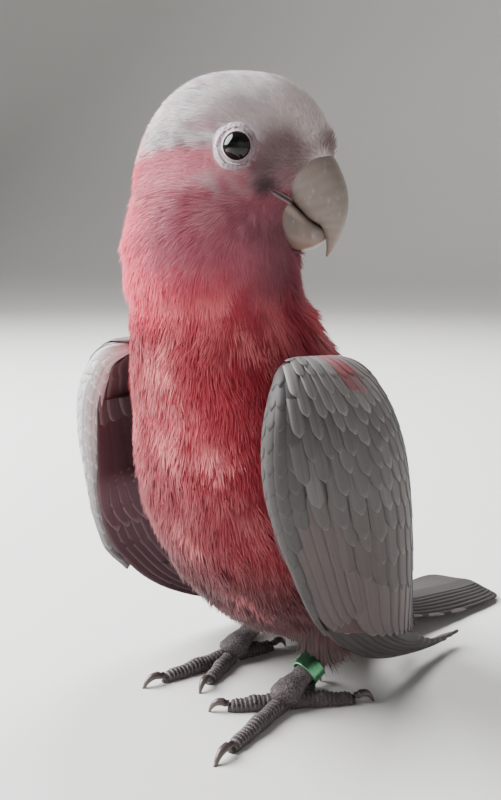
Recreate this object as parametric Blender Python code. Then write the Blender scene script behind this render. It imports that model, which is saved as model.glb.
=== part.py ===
"""A still, life-size young galah that stands on level ground and looks back over its left shoulder.

The bird faces -Y, its left is +X and up is +Z. Every size below is in millimetres.
"""

import math

import bmesh
import bpy
from mathutils import Matrix, Vector

MM = 0.001
GAP = 0.3

# Trunk and neck: sections square to a spine that runs from the root of the tail to inside the head.
# Each row is Y and Z of the spine, then the reach sideways, to the belly side and to the back side.
TRUNK_ROWS = (
    (42.0, 15.5, 3.0, 2.0, 2.0),
    (38.5, 18.5, 13.0, 8.5, 7.0),
    (31.0, 26.5, 25.0, 18.5, 13.5),
    (21.0, 38.0, 34.5, 32.0, 21.5),
    (10.0, 53.0, 39.5, 41.0, 28.5),
    (0.0, 71.0, 41.0, 43.5, 32.5),
    (-8.0, 90.0, 40.0, 42.0, 32.5),
    (-16.0, 108.0, 36.0, 35.5, 30.0),
    (-22.5, 123.0, 30.5, 29.5, 27.0),
    (-25.5, 135.0, 26.0, 27.5, 25.5),
    (-26.0, 147.0, 25.5, 27.5, 27.0),
    (-24.5, 158.0, 24.0, 26.0, 27.5),
    (-22.5, 168.0, 18.0, 20.0, 21.0),
    (-22.0, 175.0, 7.0, 7.0, 7.0),
)
TRUNK_SQUARENESS = 2.15
TRUNK_SIDES = 24
NECK_ROOT = 0.66
NECK_STEPS = 6
TRUNK_STEPS = 17

# Head: its own frame, with the bill along +X and the crown up, turned from the body's heading.
HEAD_AT = (2.0, -22.0, 180.0)
HEAD_TURN = 123.0
# Each row is the place along the head, the crown, the chin, the level of the cheeks and the half width.
HEAD_ROWS = (
    (-27.6, -9.0, -17.0, -12.0, 2.0),
    (-26.2, -3.5, -23.0, -12.0, 7.5),
    (-23.0, 4.5, -28.0, -11.5, 11.5),
    (-17.5, 11.8, -31.0, -11.0, 15.0),
    (-10.5, 16.8, -33.0, -10.5, 17.6),
    (-2.5, 19.4, -34.0, -10.5, 18.8),
    (6.0, 19.9, -34.5, -10.5, 18.6),
    (13.0, 19.0, -33.5, -10.5, 17.4),
    (18.0, 17.5, -28.0, -8.0, 15.8),
    (22.5, 15.0, -17.5, -4.5, 13.8),
    (26.5, 11.6, -13.0, -2.5, 11.6),
    (29.8, 6.9, -10.0, -2.0, 9.0),
    (32.2, 1.6, -8.4, -3.6, 5.8),
    (33.6, -3.0, -6.6, -5.0, 2.0),
)
HEAD_SQUARENESS = 2.25
HEAD_SIDES = 24
HEAD_STEPS = 19

# Bill: each row of the upper half is the ridge point, the cutting-edge point and the half width.
UPPER_BILL_ROWS = (
    ((23.0, 3.0), (12.5, -9.5), 6.4),
    ((29.0, -1.0), (14.5, -13.0), 7.9),
    ((33.2, -6.0), (17.0, -15.6), 8.3),
    ((35.8, -11.0), (20.0, -17.4), 7.8),
    ((37.3, -16.0), (22.8, -20.2), 7.2),
    ((37.4, -20.6), (26.0, -23.4), 6.2),
    ((36.5, -25.0), (29.4, -25.4), 4.6),
    ((35.1, -29.0), (30.9, -28.2), 3.0),
    ((33.2, -32.5), (31.2, -31.5), 1.6),
    ((31.4, -34.7), (31.0, -34.3), 0.3),
)
# Each row of the lower half is the place along the head, the cutting edge, the keel and the half width.
LOWER_BILL_ROWS = (
    (10.0, -14.5, -25.0, 5.0),
    (13.5, -14.0, -29.0, 6.8),
    (17.0, -14.5, -31.2, 7.2),
    (20.5, -16.5, -32.3, 6.9),
    (24.0, -20.0, -32.6, 6.0),
    (27.0, -23.0, -32.2, 4.8),
    (29.5, -24.8, -30.8, 3.4),
    (31.1, -26.2, -29.2, 1.4),
)
BILL_SIDES = 12
BILL_STEPS = 11

EYE_AT = (8.3, 15.2, -3.6)
EYE_RADIUS = 5.0

# Folded wing, left side. Each row is a chord across the wing: its front, crest and rear points.
WING_ROWS = (
    ((38.0, -26.0, 114.5), (37.0, -21.0, 115.5), (35.0, -15.0, 114.5)),
    ((40.5, -38.0, 109.0), (43.5, -18.0, 111.0), (29.0, 5.0, 108.5)),
    ((41.0, -42.5, 101.0), (46.5, -12.0, 101.0), (21.0, 19.0, 98.0)),
    ((40.5, -42.0, 88.0), (47.5, -5.0, 87.0), (16.0, 31.0, 84.0)),
    ((39.5, -37.0, 74.0), (47.0, 2.0, 71.0), (14.0, 39.0, 66.0)),
    ((38.5, -28.5, 57.0), (45.5, 9.0, 52.0), (15.0, 45.5, 46.0)),
    ((37.5, -19.0, 40.0), (43.0, 14.0, 34.0), (17.0, 49.5, 27.0)),
    ((36.0, -8.5, 27.5), (39.5, 18.0, 20.0), (20.0, 53.0, 8.5)),
)
WING_THICKNESS = (1.5, 7.0, 9.0, 8.5, 6.5, 3.8, 2.4, 1.4)
WING_FULLNESS = {"left": 1.35, "right": 1.0}
COVERTS_END = 4.3
SECONDARIES_START = 0.16
# Flight feathers of the hand, as one blade beneath the others: its front and rear edges.
PRIMARY_ROWS = (
    ((37.5, -35.0, 69.0), (38.5, -10.0, 68.0)),
    ((37.0, -28.0, 55.0), (38.5, 4.0, 51.0)),
    ((36.0, -18.5, 39.0), (37.5, 15.0, 35.0)),
    ((35.0, -8.0, 25.5), (35.5, 27.0, 22.5)),
    ((33.0, 9.0, 14.5), (33.0, 40.0, 14.5)),
    ((31.0, 30.0, 8.0), (30.5, 53.0, 9.5)),
    ((29.0, 50.0, 5.6), (28.5, 64.0, 6.8)),
    ((28.0, 68.0, 5.2), (27.8, 70.0, 5.6)),
)
PRIMARY_THICKNESS = 1.5
# How far the right wing's front edge hangs away from the body: height, sideways, forwards.
WING_DROOP = ((0.0, 11.0, 9.0), (20.0, 14.0, 13.0), (40.0, 15.0, 13.5), (56.0, 12.5, 10.0),
              (74.0, 6.5, 4.5), (88.0, 2.5, 1.0), (104.0, 0.0, -1.5), (118.0, 0.0, 0.0))

# Tail: each row is Y, Z of the crown of the arch, half width and thickness.
TAIL_ROWS = (
    (30.0, 25.0, 10.0, 5.0),
    (42.0, 17.5, 13.0, 4.6),
    (56.0, 12.0, 15.0, 3.8),
    (72.0, 8.0, 17.0, 3.2),
    (90.0, 5.4, 18.5, 2.8),
    (108.0, 3.0, 18.5, 2.7),
    (117.0, 2.3, 15.5, 2.3),
    (121.0, 1.9, 10.0, 1.9),
)
TAIL_ARCH = 2.6

# Legs: the middle of the ball of the foot, and the heel, for each side.
FOOT_AT = {"left": (21.0, -14.0), "right": (-16.0, -4.0)}
HEEL_FROM_FOOT = {"left": (0.5, 24.0, 17.5), "right": (2.5, 20.0, 19.0)}
THIGH_TOP = {"left": (19.0, 6.0, 50.0), "right": (-19.0, 6.0, 50.0)}
THIGH_ROWS = ((0.0, 4.0), (0.12, 12.0), (0.5, 14.5), (0.8, 10.5), (0.95, 7.5), (1.0, 4.0))
# Toe: heading from straight ahead towards the bird's left in degrees, length, claw length.
TOES = {
    "left": {"hallux": (-168.0, 15.0, 7.0), "inner": (-36.0, 17.0, 8.0),
             "middle": (15.0, 30.0, 11.0), "outer": (146.0, 22.0, 8.0)},
    "right": {"hallux": (168.0, 15.0, 7.0), "inner": (24.0, 19.0, 8.5),
              "middle": (-7.0, 28.0, 10.0), "outer": (-146.0, 21.0, 8.0)},
}
TOE_ROOT = 4.6
TOE_RADII = ((0.0, 2.9), (0.25, 2.7), (0.5, 2.75), (0.75, 2.3), (0.93, 2.1), (1.0, 1.2))
CLAW_RADII = ((0.0, 1.1), (0.08, 1.5), (0.4, 1.25), (0.75, 0.7), (1.0, 0.15))
FOOT_SINK = 1.0
BAND_AT, BAND_HEIGHT, BAND_INNER, BAND_OUTER = 0.56, 5.0, 4.1, 5.0

MATERIALS = {
    "plumage_rose": ((0.62, 0.10, 0.13), 0.85, 0.0),
    "plumage_crown": ((0.62, 0.52, 0.52), 0.85, 0.0),
    "plumage_grey": ((0.26, 0.26, 0.27), 0.8, 0.0),
    "plumage_slate": ((0.07, 0.065, 0.07), 0.75, 0.0),
    "bill_horn": ((0.42, 0.38, 0.35), 0.45, 0.0),
    "eye_dark": ((0.01, 0.012, 0.015), 0.05, 0.0),
    "foot_scale": ((0.06, 0.055, 0.06), 0.6, 0.0),
    "claw_horn": ((0.05, 0.045, 0.05), 0.35, 0.0),
    "band_green": ((0.01, 0.25, 0.08), 0.3, 0.9),
}


def clear_scene():
    for item in list(bpy.data.objects):
        bpy.data.objects.remove(item)


def make_materials():
    for name, (colour, roughness, metallic) in MATERIALS.items():
        material = bpy.data.materials.new(name)
        material.use_nodes = True
        shader = material.node_tree.nodes["Principled BSDF"]
        shader.inputs["Base Color"].default_value = (*colour, 1.0)
        shader.inputs["Roughness"].default_value = roughness
        shader.inputs["Metallic"].default_value = metallic


def smooth(rows, position):
    """The row at a place along evenly spaced rows of numbers, on a smooth curve through them all."""
    last = len(rows) - 1
    position = min(max(position, 0.0), float(last))
    first = min(int(position), last - 1)
    part = position - first
    before, start, end, after = (rows[min(max(first + step, 0), last)] for step in (-1, 0, 1, 2))
    return [
        0.5 * (2 * b + (c - a) * part + (2 * a - 5 * b + 4 * c - d) * part**2
               + (3 * b - a - 3 * c + d) * part**3)
        for a, b, c, d in zip(before, start, end, after)
    ]


def steps(start, end, count):
    return [start + (end - start) * step / (count - 1) for step in range(count)]


def profile(table, place):
    """The size at a share of the way along, from a table of share and size."""
    for (low, size), (high, more) in zip(table, table[1:]):
        if place <= high:
            return size + (more - size) * (place - low) / (high - low)
    return table[-1][1]


def power(value, squareness):
    return math.copysign(abs(value) ** (2.0 / squareness), value)


def solid(name, rings, material, smooth_angle=40.0):
    """A closed solid from a row of rings of points in millimetres, with a cap on each end."""
    shape = bmesh.new()
    loops = [[shape.verts.new(Vector(point) * MM) for point in ring] for ring in rings]
    sides = len(loops[0])
    for ring, following in zip(loops, loops[1:]):
        for side in range(sides):
            after = (side + 1) % sides
            shape.faces.new((ring[side], ring[after], following[after], following[side]))
    shape.faces.new(loops[0][::-1])
    shape.faces.new(loops[-1])
    bmesh.ops.recalc_face_normals(shape, faces=shape.faces)
    if shape.calc_volume(signed=True) < 0:
        bmesh.ops.reverse_faces(shape, faces=shape.faces)
    bmesh.ops.triangulate(shape, faces=[face for face in shape.faces if len(face.verts) > 4])
    mesh = bpy.data.meshes.new(name)
    shape.to_mesh(mesh)
    shape.free()
    mesh.shade_smooth()
    mesh.set_sharp_from_angle(angle=math.radians(smooth_angle))
    mesh.materials.append(bpy.data.materials[material])
    item = bpy.data.objects.new(name, mesh)
    bpy.context.collection.objects.link(item)
    return item


def swollen(item, by=GAP):
    """A hidden copy of a solid, larger by a gap on every side, that cuts its neighbours."""
    copy = bpy.data.objects.new(item.name + "_cutter", item.data.copy())
    bpy.context.collection.objects.link(copy)
    copy.parent = item.parent
    copy.matrix_basis = item.matrix_basis
    grow = copy.modifiers.new("gap", "DISPLACE")
    grow.strength = by * MM
    grow.mid_level = 0.0
    copy.hide_render = True
    copy.display_type = "WIRE"
    return copy


def cut(item, cutter):
    trim = item.modifiers.new(cutter.name, "BOOLEAN")
    trim.operation = "DIFFERENCE"
    trim.solver = "EXACT"
    trim.object = cutter


def spine_place(position):
    y, z, side, belly, back = smooth(TRUNK_ROWS, position)
    ahead = smooth(TRUNK_ROWS, position + 0.05)
    behind = smooth(TRUNK_ROWS, position - 0.05)
    run = Vector((0.0, ahead[0] - behind[0], ahead[1] - behind[1])).normalized()
    to_back = Vector((0.0, run.z, -run.y))
    return Vector((0.0, y, z)), to_back, side, belly, back


def trunk_ring(position):
    centre, to_back, side, belly, back = spine_place(position)
    ring = []
    for step in range(TRUNK_SIDES):
        angle = 2 * math.pi * step / TRUNK_SIDES
        across = power(math.cos(angle), TRUNK_SQUARENESS) * side
        depth = power(math.sin(angle), TRUNK_SQUARENESS)
        depth *= back if depth > 0 else belly
        ring.append(centre + Vector((across, 0.0, 0.0)) + to_back * depth)
    return ring


def make_trunk_and_neck():
    top = len(TRUNK_ROWS) - 1
    parting = top * NECK_ROOT
    half_gap = 0.5 * GAP / 12.0
    trunk = solid("trunk", [trunk_ring(p) for p in steps(0.0, parting - half_gap, TRUNK_STEPS)],
                  "plumage_rose")
    neck = solid("neck", [trunk_ring(p) for p in steps(parting + half_gap, top, NECK_STEPS)],
                 "plumage_rose")
    return trunk, neck


def head_frame():
    frame = bpy.data.objects.new("head_frame", None)
    bpy.context.collection.objects.link(frame)
    frame.location = Vector(HEAD_AT) * MM
    frame.rotation_euler = (0.0, 0.0, math.radians(HEAD_TURN - 90.0))
    bpy.context.view_layer.update()
    return frame


def head_ring(position):
    along, crown, chin, cheeks, half_width = smooth(HEAD_ROWS, position)
    ring = []
    for step in range(HEAD_SIDES):
        angle = 2 * math.pi * step / HEAD_SIDES
        across = power(math.cos(angle), HEAD_SQUARENESS) * half_width
        rise = power(math.sin(angle), HEAD_SQUARENESS)
        rise *= crown - cheeks if rise > 0 else cheeks - chin
        ring.append((along, across, cheeks + rise))
    return ring


def upper_bill_ring(position):
    rows = [(*ridge, *edge, width) for ridge, edge, width in UPPER_BILL_ROWS]
    ridge_x, ridge_z, edge_x, edge_z, half_width = smooth(rows, position)
    ridge, edge = Vector((ridge_x, 0.0, ridge_z)), Vector((edge_x, 0.0, edge_z))
    middle, half = (ridge + edge) / 2, (ridge - edge) / 2
    ring = []
    for step in range(BILL_SIDES):
        angle = 2 * math.pi * step / BILL_SIDES
        reach = math.cos(angle)
        squareness = 2.0 if reach > 0 else 3.0
        across = power(math.sin(angle), squareness) * half_width
        ring.append(middle + half * power(reach, squareness) + Vector((0.0, across, 0.0)))
    return ring


def lower_bill_ring(position):
    along, edge, keel, half_width = smooth(LOWER_BILL_ROWS, position)
    ring = []
    for step in range(BILL_SIDES):
        angle = 2 * math.pi * step / BILL_SIDES
        across = power(math.cos(angle), 2.6) * half_width
        rise = power(math.sin(angle), 2.6)
        ring.append((along, across, (edge + keel) / 2 + rise * (edge - keel) / 2))
    return ring


def eye(name, side, frame):
    shape = bmesh.new()
    bmesh.ops.create_uvsphere(shape, u_segments=14, v_segments=8, radius=EYE_RADIUS * MM)
    mesh = bpy.data.meshes.new(name)
    shape.to_mesh(mesh)
    shape.free()
    mesh.shade_smooth()
    mesh.materials.append(bpy.data.materials["eye_dark"])
    item = bpy.data.objects.new(name, mesh)
    bpy.context.collection.objects.link(item)
    along, out, up = EYE_AT
    item.parent = frame
    item.location = Vector((along, out * side, up)) * MM
    item.rotation_euler = (math.radians(90.0), 0.0, 0.0)
    return item


def make_head(neck):
    frame = head_frame()
    head = solid("head", [head_ring(p) for p in steps(0.0, len(HEAD_ROWS) - 1, HEAD_STEPS)],
                 "plumage_crown")
    upper = solid("bill_upper",
                  [upper_bill_ring(p) for p in steps(0.0, len(UPPER_BILL_ROWS) - 1, BILL_STEPS + 2)],
                  "bill_horn")
    lower = solid("bill_lower",
                  [lower_bill_ring(p) for p in steps(0.0, len(LOWER_BILL_ROWS) - 1, BILL_STEPS)],
                  "bill_horn")
    for item in (head, upper, lower):
        item.parent = frame
    eyes = [eye("eye_left", 1, frame), eye("eye_right", -1, frame)]
    bpy.context.view_layer.update()
    upper_cutter = swollen(upper)
    for cutter in [upper_cutter, swollen(lower)] + [swollen(item) for item in eyes]:
        cut(head, cutter)
    cut(lower, upper_cutter)
    cut(neck, swollen(head))
    cut(neck, bpy.data.objects["bill_lower_cutter"])


def drooped(point, side, share):
    """A point of a wing on its own side, hung off the body by its share of that wing's droop."""
    x, y, z = point
    if side == "left":
        return Vector((x, y, z))
    out = profile([(height, away) for height, away, _ in WING_DROOP], z)
    forward = profile([(height, ahead) for height, _, ahead in WING_DROOP], z)
    return Vector((-(x + out * share), y - forward * share, z))


def wing_point(side, position, across):
    """A point of the wing's outer face: across runs from 0 at the front edge to 1 at the rear."""
    rows = [[*front, *crest, *rear] for front, crest, rear in WING_ROWS]
    row = smooth(rows, position)
    front, crest, rear = Vector(row[:3]), Vector(row[3:6]), Vector(row[6:])
    handle = 2 * crest - (front + rear) / 2
    point = (front * (1 - across) ** 2 + handle * 2 * across * (1 - across) + rear * across**2)
    return drooped(point, side, max(1 - across, 0.0) ** 1.2)


def wing_inwards(side, position, across):
    """The direction from the wing's outer face towards the body."""
    little = 0.04
    along = wing_point(side, position + little, across) - wing_point(side, position - little, across)
    chord = wing_point(side, position, across + little) - wing_point(side, position, across - little)
    inwards = along.cross(chord).normalized()
    return inwards if side == "left" else -inwards


def wing_ring(side, position, start, half_sides=10):
    """A closed section through the wing, round at the front and thin at the rear."""
    thick = smooth([[size] for size in WING_THICKNESS], position)[0] * WING_FULLNESS[side]
    outer, inner = [], []
    for across in steps(start, 1.0, half_sides):
        edge = min((across - start) / 0.12, 1.0)
        rear = 1.0 - 0.65 * across
        depth = thick * rear * math.sqrt(max(1 - (1 - edge) ** 2, 0.0))
        tuck = thick * rear * 0.5 * (1 - math.sqrt(max(1 - (1 - edge) ** 2, 0.0)))
        face = wing_point(side, position, across)
        inwards = wing_inwards(side, position, across)
        outer.append(face + inwards * tuck)
        inner.append(face + inwards * (tuck + max(depth, 0.5)))
    return outer + inner[::-1]


def primary_ring(side, position, half_sides=7):
    row = smooth([[*front, *rear] for front, rear in PRIMARY_ROWS], position)
    front, rear = Vector(row[:3]), Vector(row[3:])
    outer, inner = [], []
    for across in steps(0.0, 1.0, half_sides):
        point = front.lerp(rear, across)
        point.x += 3.0 * math.sin(math.pi * across)
        edge = math.sin(math.pi * (0.12 + 0.76 * across))
        half = 0.5 * PRIMARY_THICKNESS * max(edge, 0.4)
        outer.append(drooped(point + Vector((half, 0.0, 0.0)), side, 1.0 - 0.6 * across))
        inner.append(drooped(point - Vector((half, 0.0, 0.0)), side, 1.0 - 0.6 * across))
    return outer + inner[::-1]


def make_wing(side, trunk_cutter):
    parting = 0.03
    last = len(WING_ROWS) - 1
    coverts = solid(f"wing_{side}_coverts",
                    [wing_ring(side, p, 0.0) for p in steps(0.0, COVERTS_END - parting, 12)],
                    "plumage_grey")
    secondaries = solid(f"wing_{side}_secondaries",
                        [wing_ring(side, p, SECONDARIES_START, 9)
                         for p in steps(COVERTS_END + parting, last, 8)],
                        "plumage_grey")
    primaries = solid(f"wing_{side}_primaries",
                      [primary_ring(side, p) for p in steps(0.0, len(PRIMARY_ROWS) - 1, 11)],
                      "plumage_slate")
    cut(primaries, swollen(coverts))
    cut(primaries, swollen(secondaries))
    for item in (coverts, secondaries, primaries):
        cut(item, trunk_cutter)
    return coverts, secondaries, primaries


def make_tail(trunk_cutter):
    rings = []
    for position in steps(0.0, len(TAIL_ROWS) - 1, 11):
        y, crown, half_width, thick = smooth(TAIL_ROWS, position)
        upper, lower = [], []
        for across in steps(-1.0, 1.0, 9):
            drop = min(TAIL_ARCH, max(crown - thick, 0.0)) * across**2
            edge = 0.35 + 0.65 * math.sqrt(max(1 - across**2, 0.0))
            top = crown - drop
            upper.append((half_width * across, y, top))
            lower.append((half_width * across, y, max(top - thick * edge, 0.0)))
        rings.append(upper + lower[::-1])
    tail = solid("tail", rings, "plumage_slate")
    cut(tail, trunk_cutter)
    return tail


def tube_ring(centre, along, radius, sides, floor=False):
    """A round section square to a direction, pressed flat where it meets the ground."""
    across = along.cross(Vector((0.0, 0.0, 1.0)))
    if across.length < 0.01:
        across = Vector((1.0, 0.0, 0.0))
    across.normalize()
    up = across.cross(along).normalized()
    ring = []
    for step in range(sides):
        angle = 2 * math.pi * (step + (0.5 if floor and sides % 4 == 0 else 0.0)) / sides
        point = centre + (across * math.cos(angle) + up * math.sin(angle)) * radius
        if floor:
            point.z = max(point.z, 0.0)
        ring.append(point)
    return ring


def foot_centre(side):
    x, y = FOOT_AT[side]
    return Vector((x, y, 0.0))


def heel(side):
    return foot_centre(side) + Vector(HEEL_FROM_FOOT[side])


def make_shank(side):
    ball = foot_centre(side) + Vector((0.0, 0.0, 4.6))
    top = heel(side)
    rings = []
    table = ((0.0, 1.5), (0.05, 3.4), (0.2, 3.7), (0.75, 3.3), (0.9, 4.6), (1.0, 4.8))
    for share in steps(0.0, 1.0, 9):
        rings.append(tube_ring(top.lerp(ball, share), ball - top, profile(table, share), 10, True))
    ahead = (ball - top).normalized()
    for reach, radius in ((2.2, 4.2), (4.0, 2.6), (4.8, 0.8)):
        rings.append(tube_ring(ball + Vector((ahead.x, ahead.y, -0.1)) * reach, ahead, radius, 10, True))
    return solid(f"shank_{side}", rings, "foot_scale")


def make_toe(side, digit, shank_cutter):
    heading, length, claw_length = TOES[side][digit]
    angle = math.radians(heading)
    forward = Vector((math.sin(angle), -math.cos(angle), 0.0))
    root = foot_centre(side) + forward * TOE_ROOT * 0.4
    rings = []
    for share in steps(0.0, 1.0, 8):
        radius = profile(TOE_RADII, share)
        knuckle = 0.35 * math.sin(3 * math.pi * share) ** 2
        centre = root + forward * length * share
        centre.z = radius - FOOT_SINK + knuckle + 0.5 * (1 - share)
        rings.append(tube_ring(centre, forward, radius, 8, True))
    toe = solid(f"toe_{side}_{digit}", rings, "foot_scale")
    cut(toe, shank_cutter)
    tip = root + forward * (length + GAP)
    rings = []
    for share in steps(0.0, 1.0, 5):
        curl = math.radians(75.0) * share
        reach = claw_length * math.sin(curl) / math.radians(75.0)
        drop = claw_length * (1 - math.cos(curl)) / math.radians(75.0)
        radius = profile(CLAW_RADII, share)
        centre = tip + forward * reach
        centre.z = max(2.6 + 1.2 * math.sin(math.pi * share) - drop * 0.8, radius * 0.6)
        along = (forward * math.cos(curl) - Vector((0.0, 0.0, math.sin(curl) * 0.7))).normalized()
        rings.append(tube_ring(centre, along, radius, 6, True))
    claw = solid(f"claw_{side}_{digit}", rings, "claw_horn")
    cut(claw, swollen(toe))
    return toe, claw


def make_thigh(side, trunk_cutter):
    top, bottom = Vector(THIGH_TOP[side]), heel(side).lerp(foot_centre(side), 0.28)
    bottom.z = heel(side).z - 4.0
    rings = [tube_ring(top.lerp(bottom, share), bottom - top, profile(THIGH_ROWS, share), 16)
             for share in steps(0.0, 1.0, 10)]
    thigh = solid(f"thigh_{side}", rings, "plumage_grey")
    cut(thigh, trunk_cutter)
    return thigh


def make_band():
    top, ball = heel("left"), foot_centre("left") + Vector((0.0, 0.0, 4.6))
    along = (ball - top).normalized()
    middle = top.lerp(ball, BAND_AT)
    start, end = middle - along * BAND_HEIGHT / 2, middle + along * BAND_HEIGHT / 2
    outside = [tube_ring(point, along, BAND_OUTER, 16) for point in (start, end)]
    inside = [tube_ring(point, along, BAND_INNER, 16) for point in (end, start)]
    rings = outside + inside
    shape = bmesh.new()
    loops = [[shape.verts.new(Vector(point) * MM) for point in ring] for ring in rings]
    for ring, following in zip(loops, loops[1:] + loops[:1]):
        for side in range(16):
            after = (side + 1) % 16
            shape.faces.new((ring[side], ring[after], following[after], following[side]))
    bmesh.ops.recalc_face_normals(shape, faces=shape.faces)
    mesh = bpy.data.meshes.new("leg_band")
    shape.to_mesh(mesh)
    shape.free()
    mesh.materials.append(bpy.data.materials["band_green"])
    item = bpy.data.objects.new("leg_band", mesh)
    bpy.context.collection.objects.link(item)
    return item


def make_legs(trunk, trunk_cutter, wings):
    for side in ("left", "right"):
        shank = make_shank(side)
        thigh = make_thigh(side, trunk_cutter)
        shank_cutter = swollen(shank)
        cut(trunk, shank_cutter)
        cut(thigh, shank_cutter)
        toes = [make_toe(side, digit, shank_cutter)[0] for digit in TOES[side]]
        for index, toe in enumerate(toes):
            for other in toes[:index]:
                cut(toe, bpy.data.objects[other.name + "_cutter"])
        for piece in wings[side]:
            cut(thigh, bpy.data.objects.get(piece.name + "_cutter") or swollen(piece))


def stand_on_origin():
    """Moves the bird so that the middle of its outline's box is over the origin, with its feet at zero."""
    bpy.context.view_layer.update()
    graph = bpy.context.evaluated_depsgraph_get()
    shown = [item for item in bpy.data.objects if item.type == "MESH" and not item.hide_render]
    corners = [item.matrix_world @ vertex.co for item in shown
               for vertex in item.evaluated_get(graph).data.vertices]
    low = [min(corner[axis] for corner in corners) for axis in range(3)]
    high = [max(corner[axis] for corner in corners) for axis in range(3)]
    shift = Vector((-(low[0] + high[0]) / 2, -(low[1] + high[1]) / 2, -low[2]))
    for item in bpy.data.objects:
        if item.parent is None:
            item.matrix_world = Matrix.Translation(shift) @ item.matrix_world
    bpy.context.view_layer.update()


def main():
    clear_scene()
    make_materials()
    trunk, neck = make_trunk_and_neck()
    trunk_cutter = swollen(trunk)
    make_head(neck)
    wings = {side: make_wing(side, trunk_cutter) for side in ("left", "right")}
    make_tail(trunk_cutter)
    make_legs(trunk, trunk_cutter, wings)
    make_band()
    stand_on_origin()


main()
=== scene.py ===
"""The looks of a still, life-size young galah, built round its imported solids.

Lengths in the tables are in millimetres from a point on the floor between the feet, with the bird facing -Y,
its left side at +X and +Z up. The head's tables are in the head's own frame, with the bill along +X.
"""

import math

import bmesh
import bpy
import numpy as np
from mathutils import Matrix, Vector
from mathutils.bvhtree import BVHTree

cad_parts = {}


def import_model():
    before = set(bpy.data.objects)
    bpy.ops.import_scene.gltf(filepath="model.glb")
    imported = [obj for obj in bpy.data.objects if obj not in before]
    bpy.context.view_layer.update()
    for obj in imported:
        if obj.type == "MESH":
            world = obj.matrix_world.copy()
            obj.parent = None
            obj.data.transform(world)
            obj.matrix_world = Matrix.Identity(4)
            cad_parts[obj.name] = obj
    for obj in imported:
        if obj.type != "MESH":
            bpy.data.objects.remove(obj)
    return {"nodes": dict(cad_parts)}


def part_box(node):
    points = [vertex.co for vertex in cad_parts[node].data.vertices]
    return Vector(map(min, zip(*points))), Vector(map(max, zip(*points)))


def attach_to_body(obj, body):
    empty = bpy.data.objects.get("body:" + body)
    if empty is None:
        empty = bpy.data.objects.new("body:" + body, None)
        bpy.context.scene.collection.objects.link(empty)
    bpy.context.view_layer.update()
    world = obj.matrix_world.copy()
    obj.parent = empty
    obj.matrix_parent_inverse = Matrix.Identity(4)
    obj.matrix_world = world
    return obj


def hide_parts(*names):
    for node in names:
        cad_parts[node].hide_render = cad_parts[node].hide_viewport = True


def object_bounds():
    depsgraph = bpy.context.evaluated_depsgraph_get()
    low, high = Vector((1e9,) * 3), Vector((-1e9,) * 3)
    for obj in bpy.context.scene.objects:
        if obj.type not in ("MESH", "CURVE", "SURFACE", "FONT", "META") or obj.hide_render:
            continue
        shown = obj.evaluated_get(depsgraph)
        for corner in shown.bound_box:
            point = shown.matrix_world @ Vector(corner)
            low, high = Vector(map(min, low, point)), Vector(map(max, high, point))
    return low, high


bl_info = {
    "name": "Still galah",
    "version": (1, 0, 0),
    "blender": (4, 5, 0),
    "location": "3D View > Sidebar > Galah",
    "description": "Skin, plumage, bill, eyes and feet of a life-size galah",
    "category": "Object",
}

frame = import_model()
CAD_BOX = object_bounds()

MM = 0.001
SIDES = {"left": 1.0, "right": -1.0}
HEAD_AT = (2.0, -22.0, 180.0)
HEAD_TURN = math.radians(33.0)
EYE_AT = (8.3, 15.2, -3.6)
EYE_RADIUS = 5.0
# How far the eyes look ahead of straight sideways, in radians.
EYE_TILT = 0.10
FLESH = ("head", "neck", "trunk", "thigh_left", "thigh_right", "wing_left_coverts", "wing_right_coverts")

HEAD_SPIN = Matrix.Rotation(HEAD_TURN, 4, "Z")
SPIN = np.array(HEAD_SPIN.to_3x3())
EYE_LOW, EYE_HIGH = (Vector(corner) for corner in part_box("eye_right"))
HOME = np.array((EYE_LOW + EYE_HIGH) / 2
                - (Vector(HEAD_AT) + HEAD_SPIN @ Vector((EYE_AT[0], -EYE_AT[1], EYE_AT[2]))) * MM)


def world(points):
    """Points in millimetres from between the feet, as metres in the part's frame."""
    return np.asarray(points, float) * MM + HOME


def head_world(points):
    """Points in millimetres in the head's frame, as metres in the part's frame."""
    return world(np.asarray(points, float) @ SPIN.T + np.array(HEAD_AT))


def own_frames(points):
    """Metres as millimetres from between the feet, in the head's frame, and there with y positive."""
    bird = (points - HOME) / MM
    head = (bird - np.array(HEAD_AT)) @ SPIN
    return bird, head, np.stack([head[:, 0], np.abs(head[:, 1]), head[:, 2]], 1)


# ---- shape helpers ----


def along(rows, places):
    """Places counted in rows on a smooth curve through evenly spaced rows of numbers."""
    rows = np.asarray(rows, float)
    last = len(rows) - 1
    places = np.clip(np.asarray(places, float), 0, last)
    first = np.minimum(places.astype(int), last - 1)
    part = (places - first)[..., None]
    a, b, c, d = (rows[np.clip(first + step, 0, last)] for step in (-1, 0, 1, 2))
    return 0.5 * (2 * b + (c - a) * part + (2 * a - 5 * b + 4 * c - d) * part**2
                  + (3 * b - a - 3 * c + d) * part**3)


def unit(vectors):
    return vectors / np.maximum(np.linalg.norm(vectors, axis=-1, keepdims=True), 1e-9)


def ramp(value, start, end):
    """0 before start, 1 after end and smooth between them; end may be the lower of the two."""
    part = np.clip((np.asarray(value, float) - start) / (end - start), 0, 1)
    return part * part * (3 - 2 * part)


def ripple(points, size, seed=0):
    """Smooth unevenness from -1 to 1, about size across, made of a few crossed waves."""
    rng = np.random.default_rng(seed)
    total = 0
    for _ in range(5):
        way = unit(rng.normal(size=3)) * 2 * math.pi / size * rng.uniform(0.6, 1.5)
        total = total + np.sin(np.asarray(points) @ way + rng.uniform(0, 6.28))
    return total / 2.6


def power(value, squareness):
    """A sine or cosine bent so that its circle becomes squarer, or rounder below 2."""
    return np.sign(value) * np.abs(value) ** (2 / squareness)


def turns(sides):
    return np.linspace(0, 2 * math.pi, sides, endpoint=False)


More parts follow.
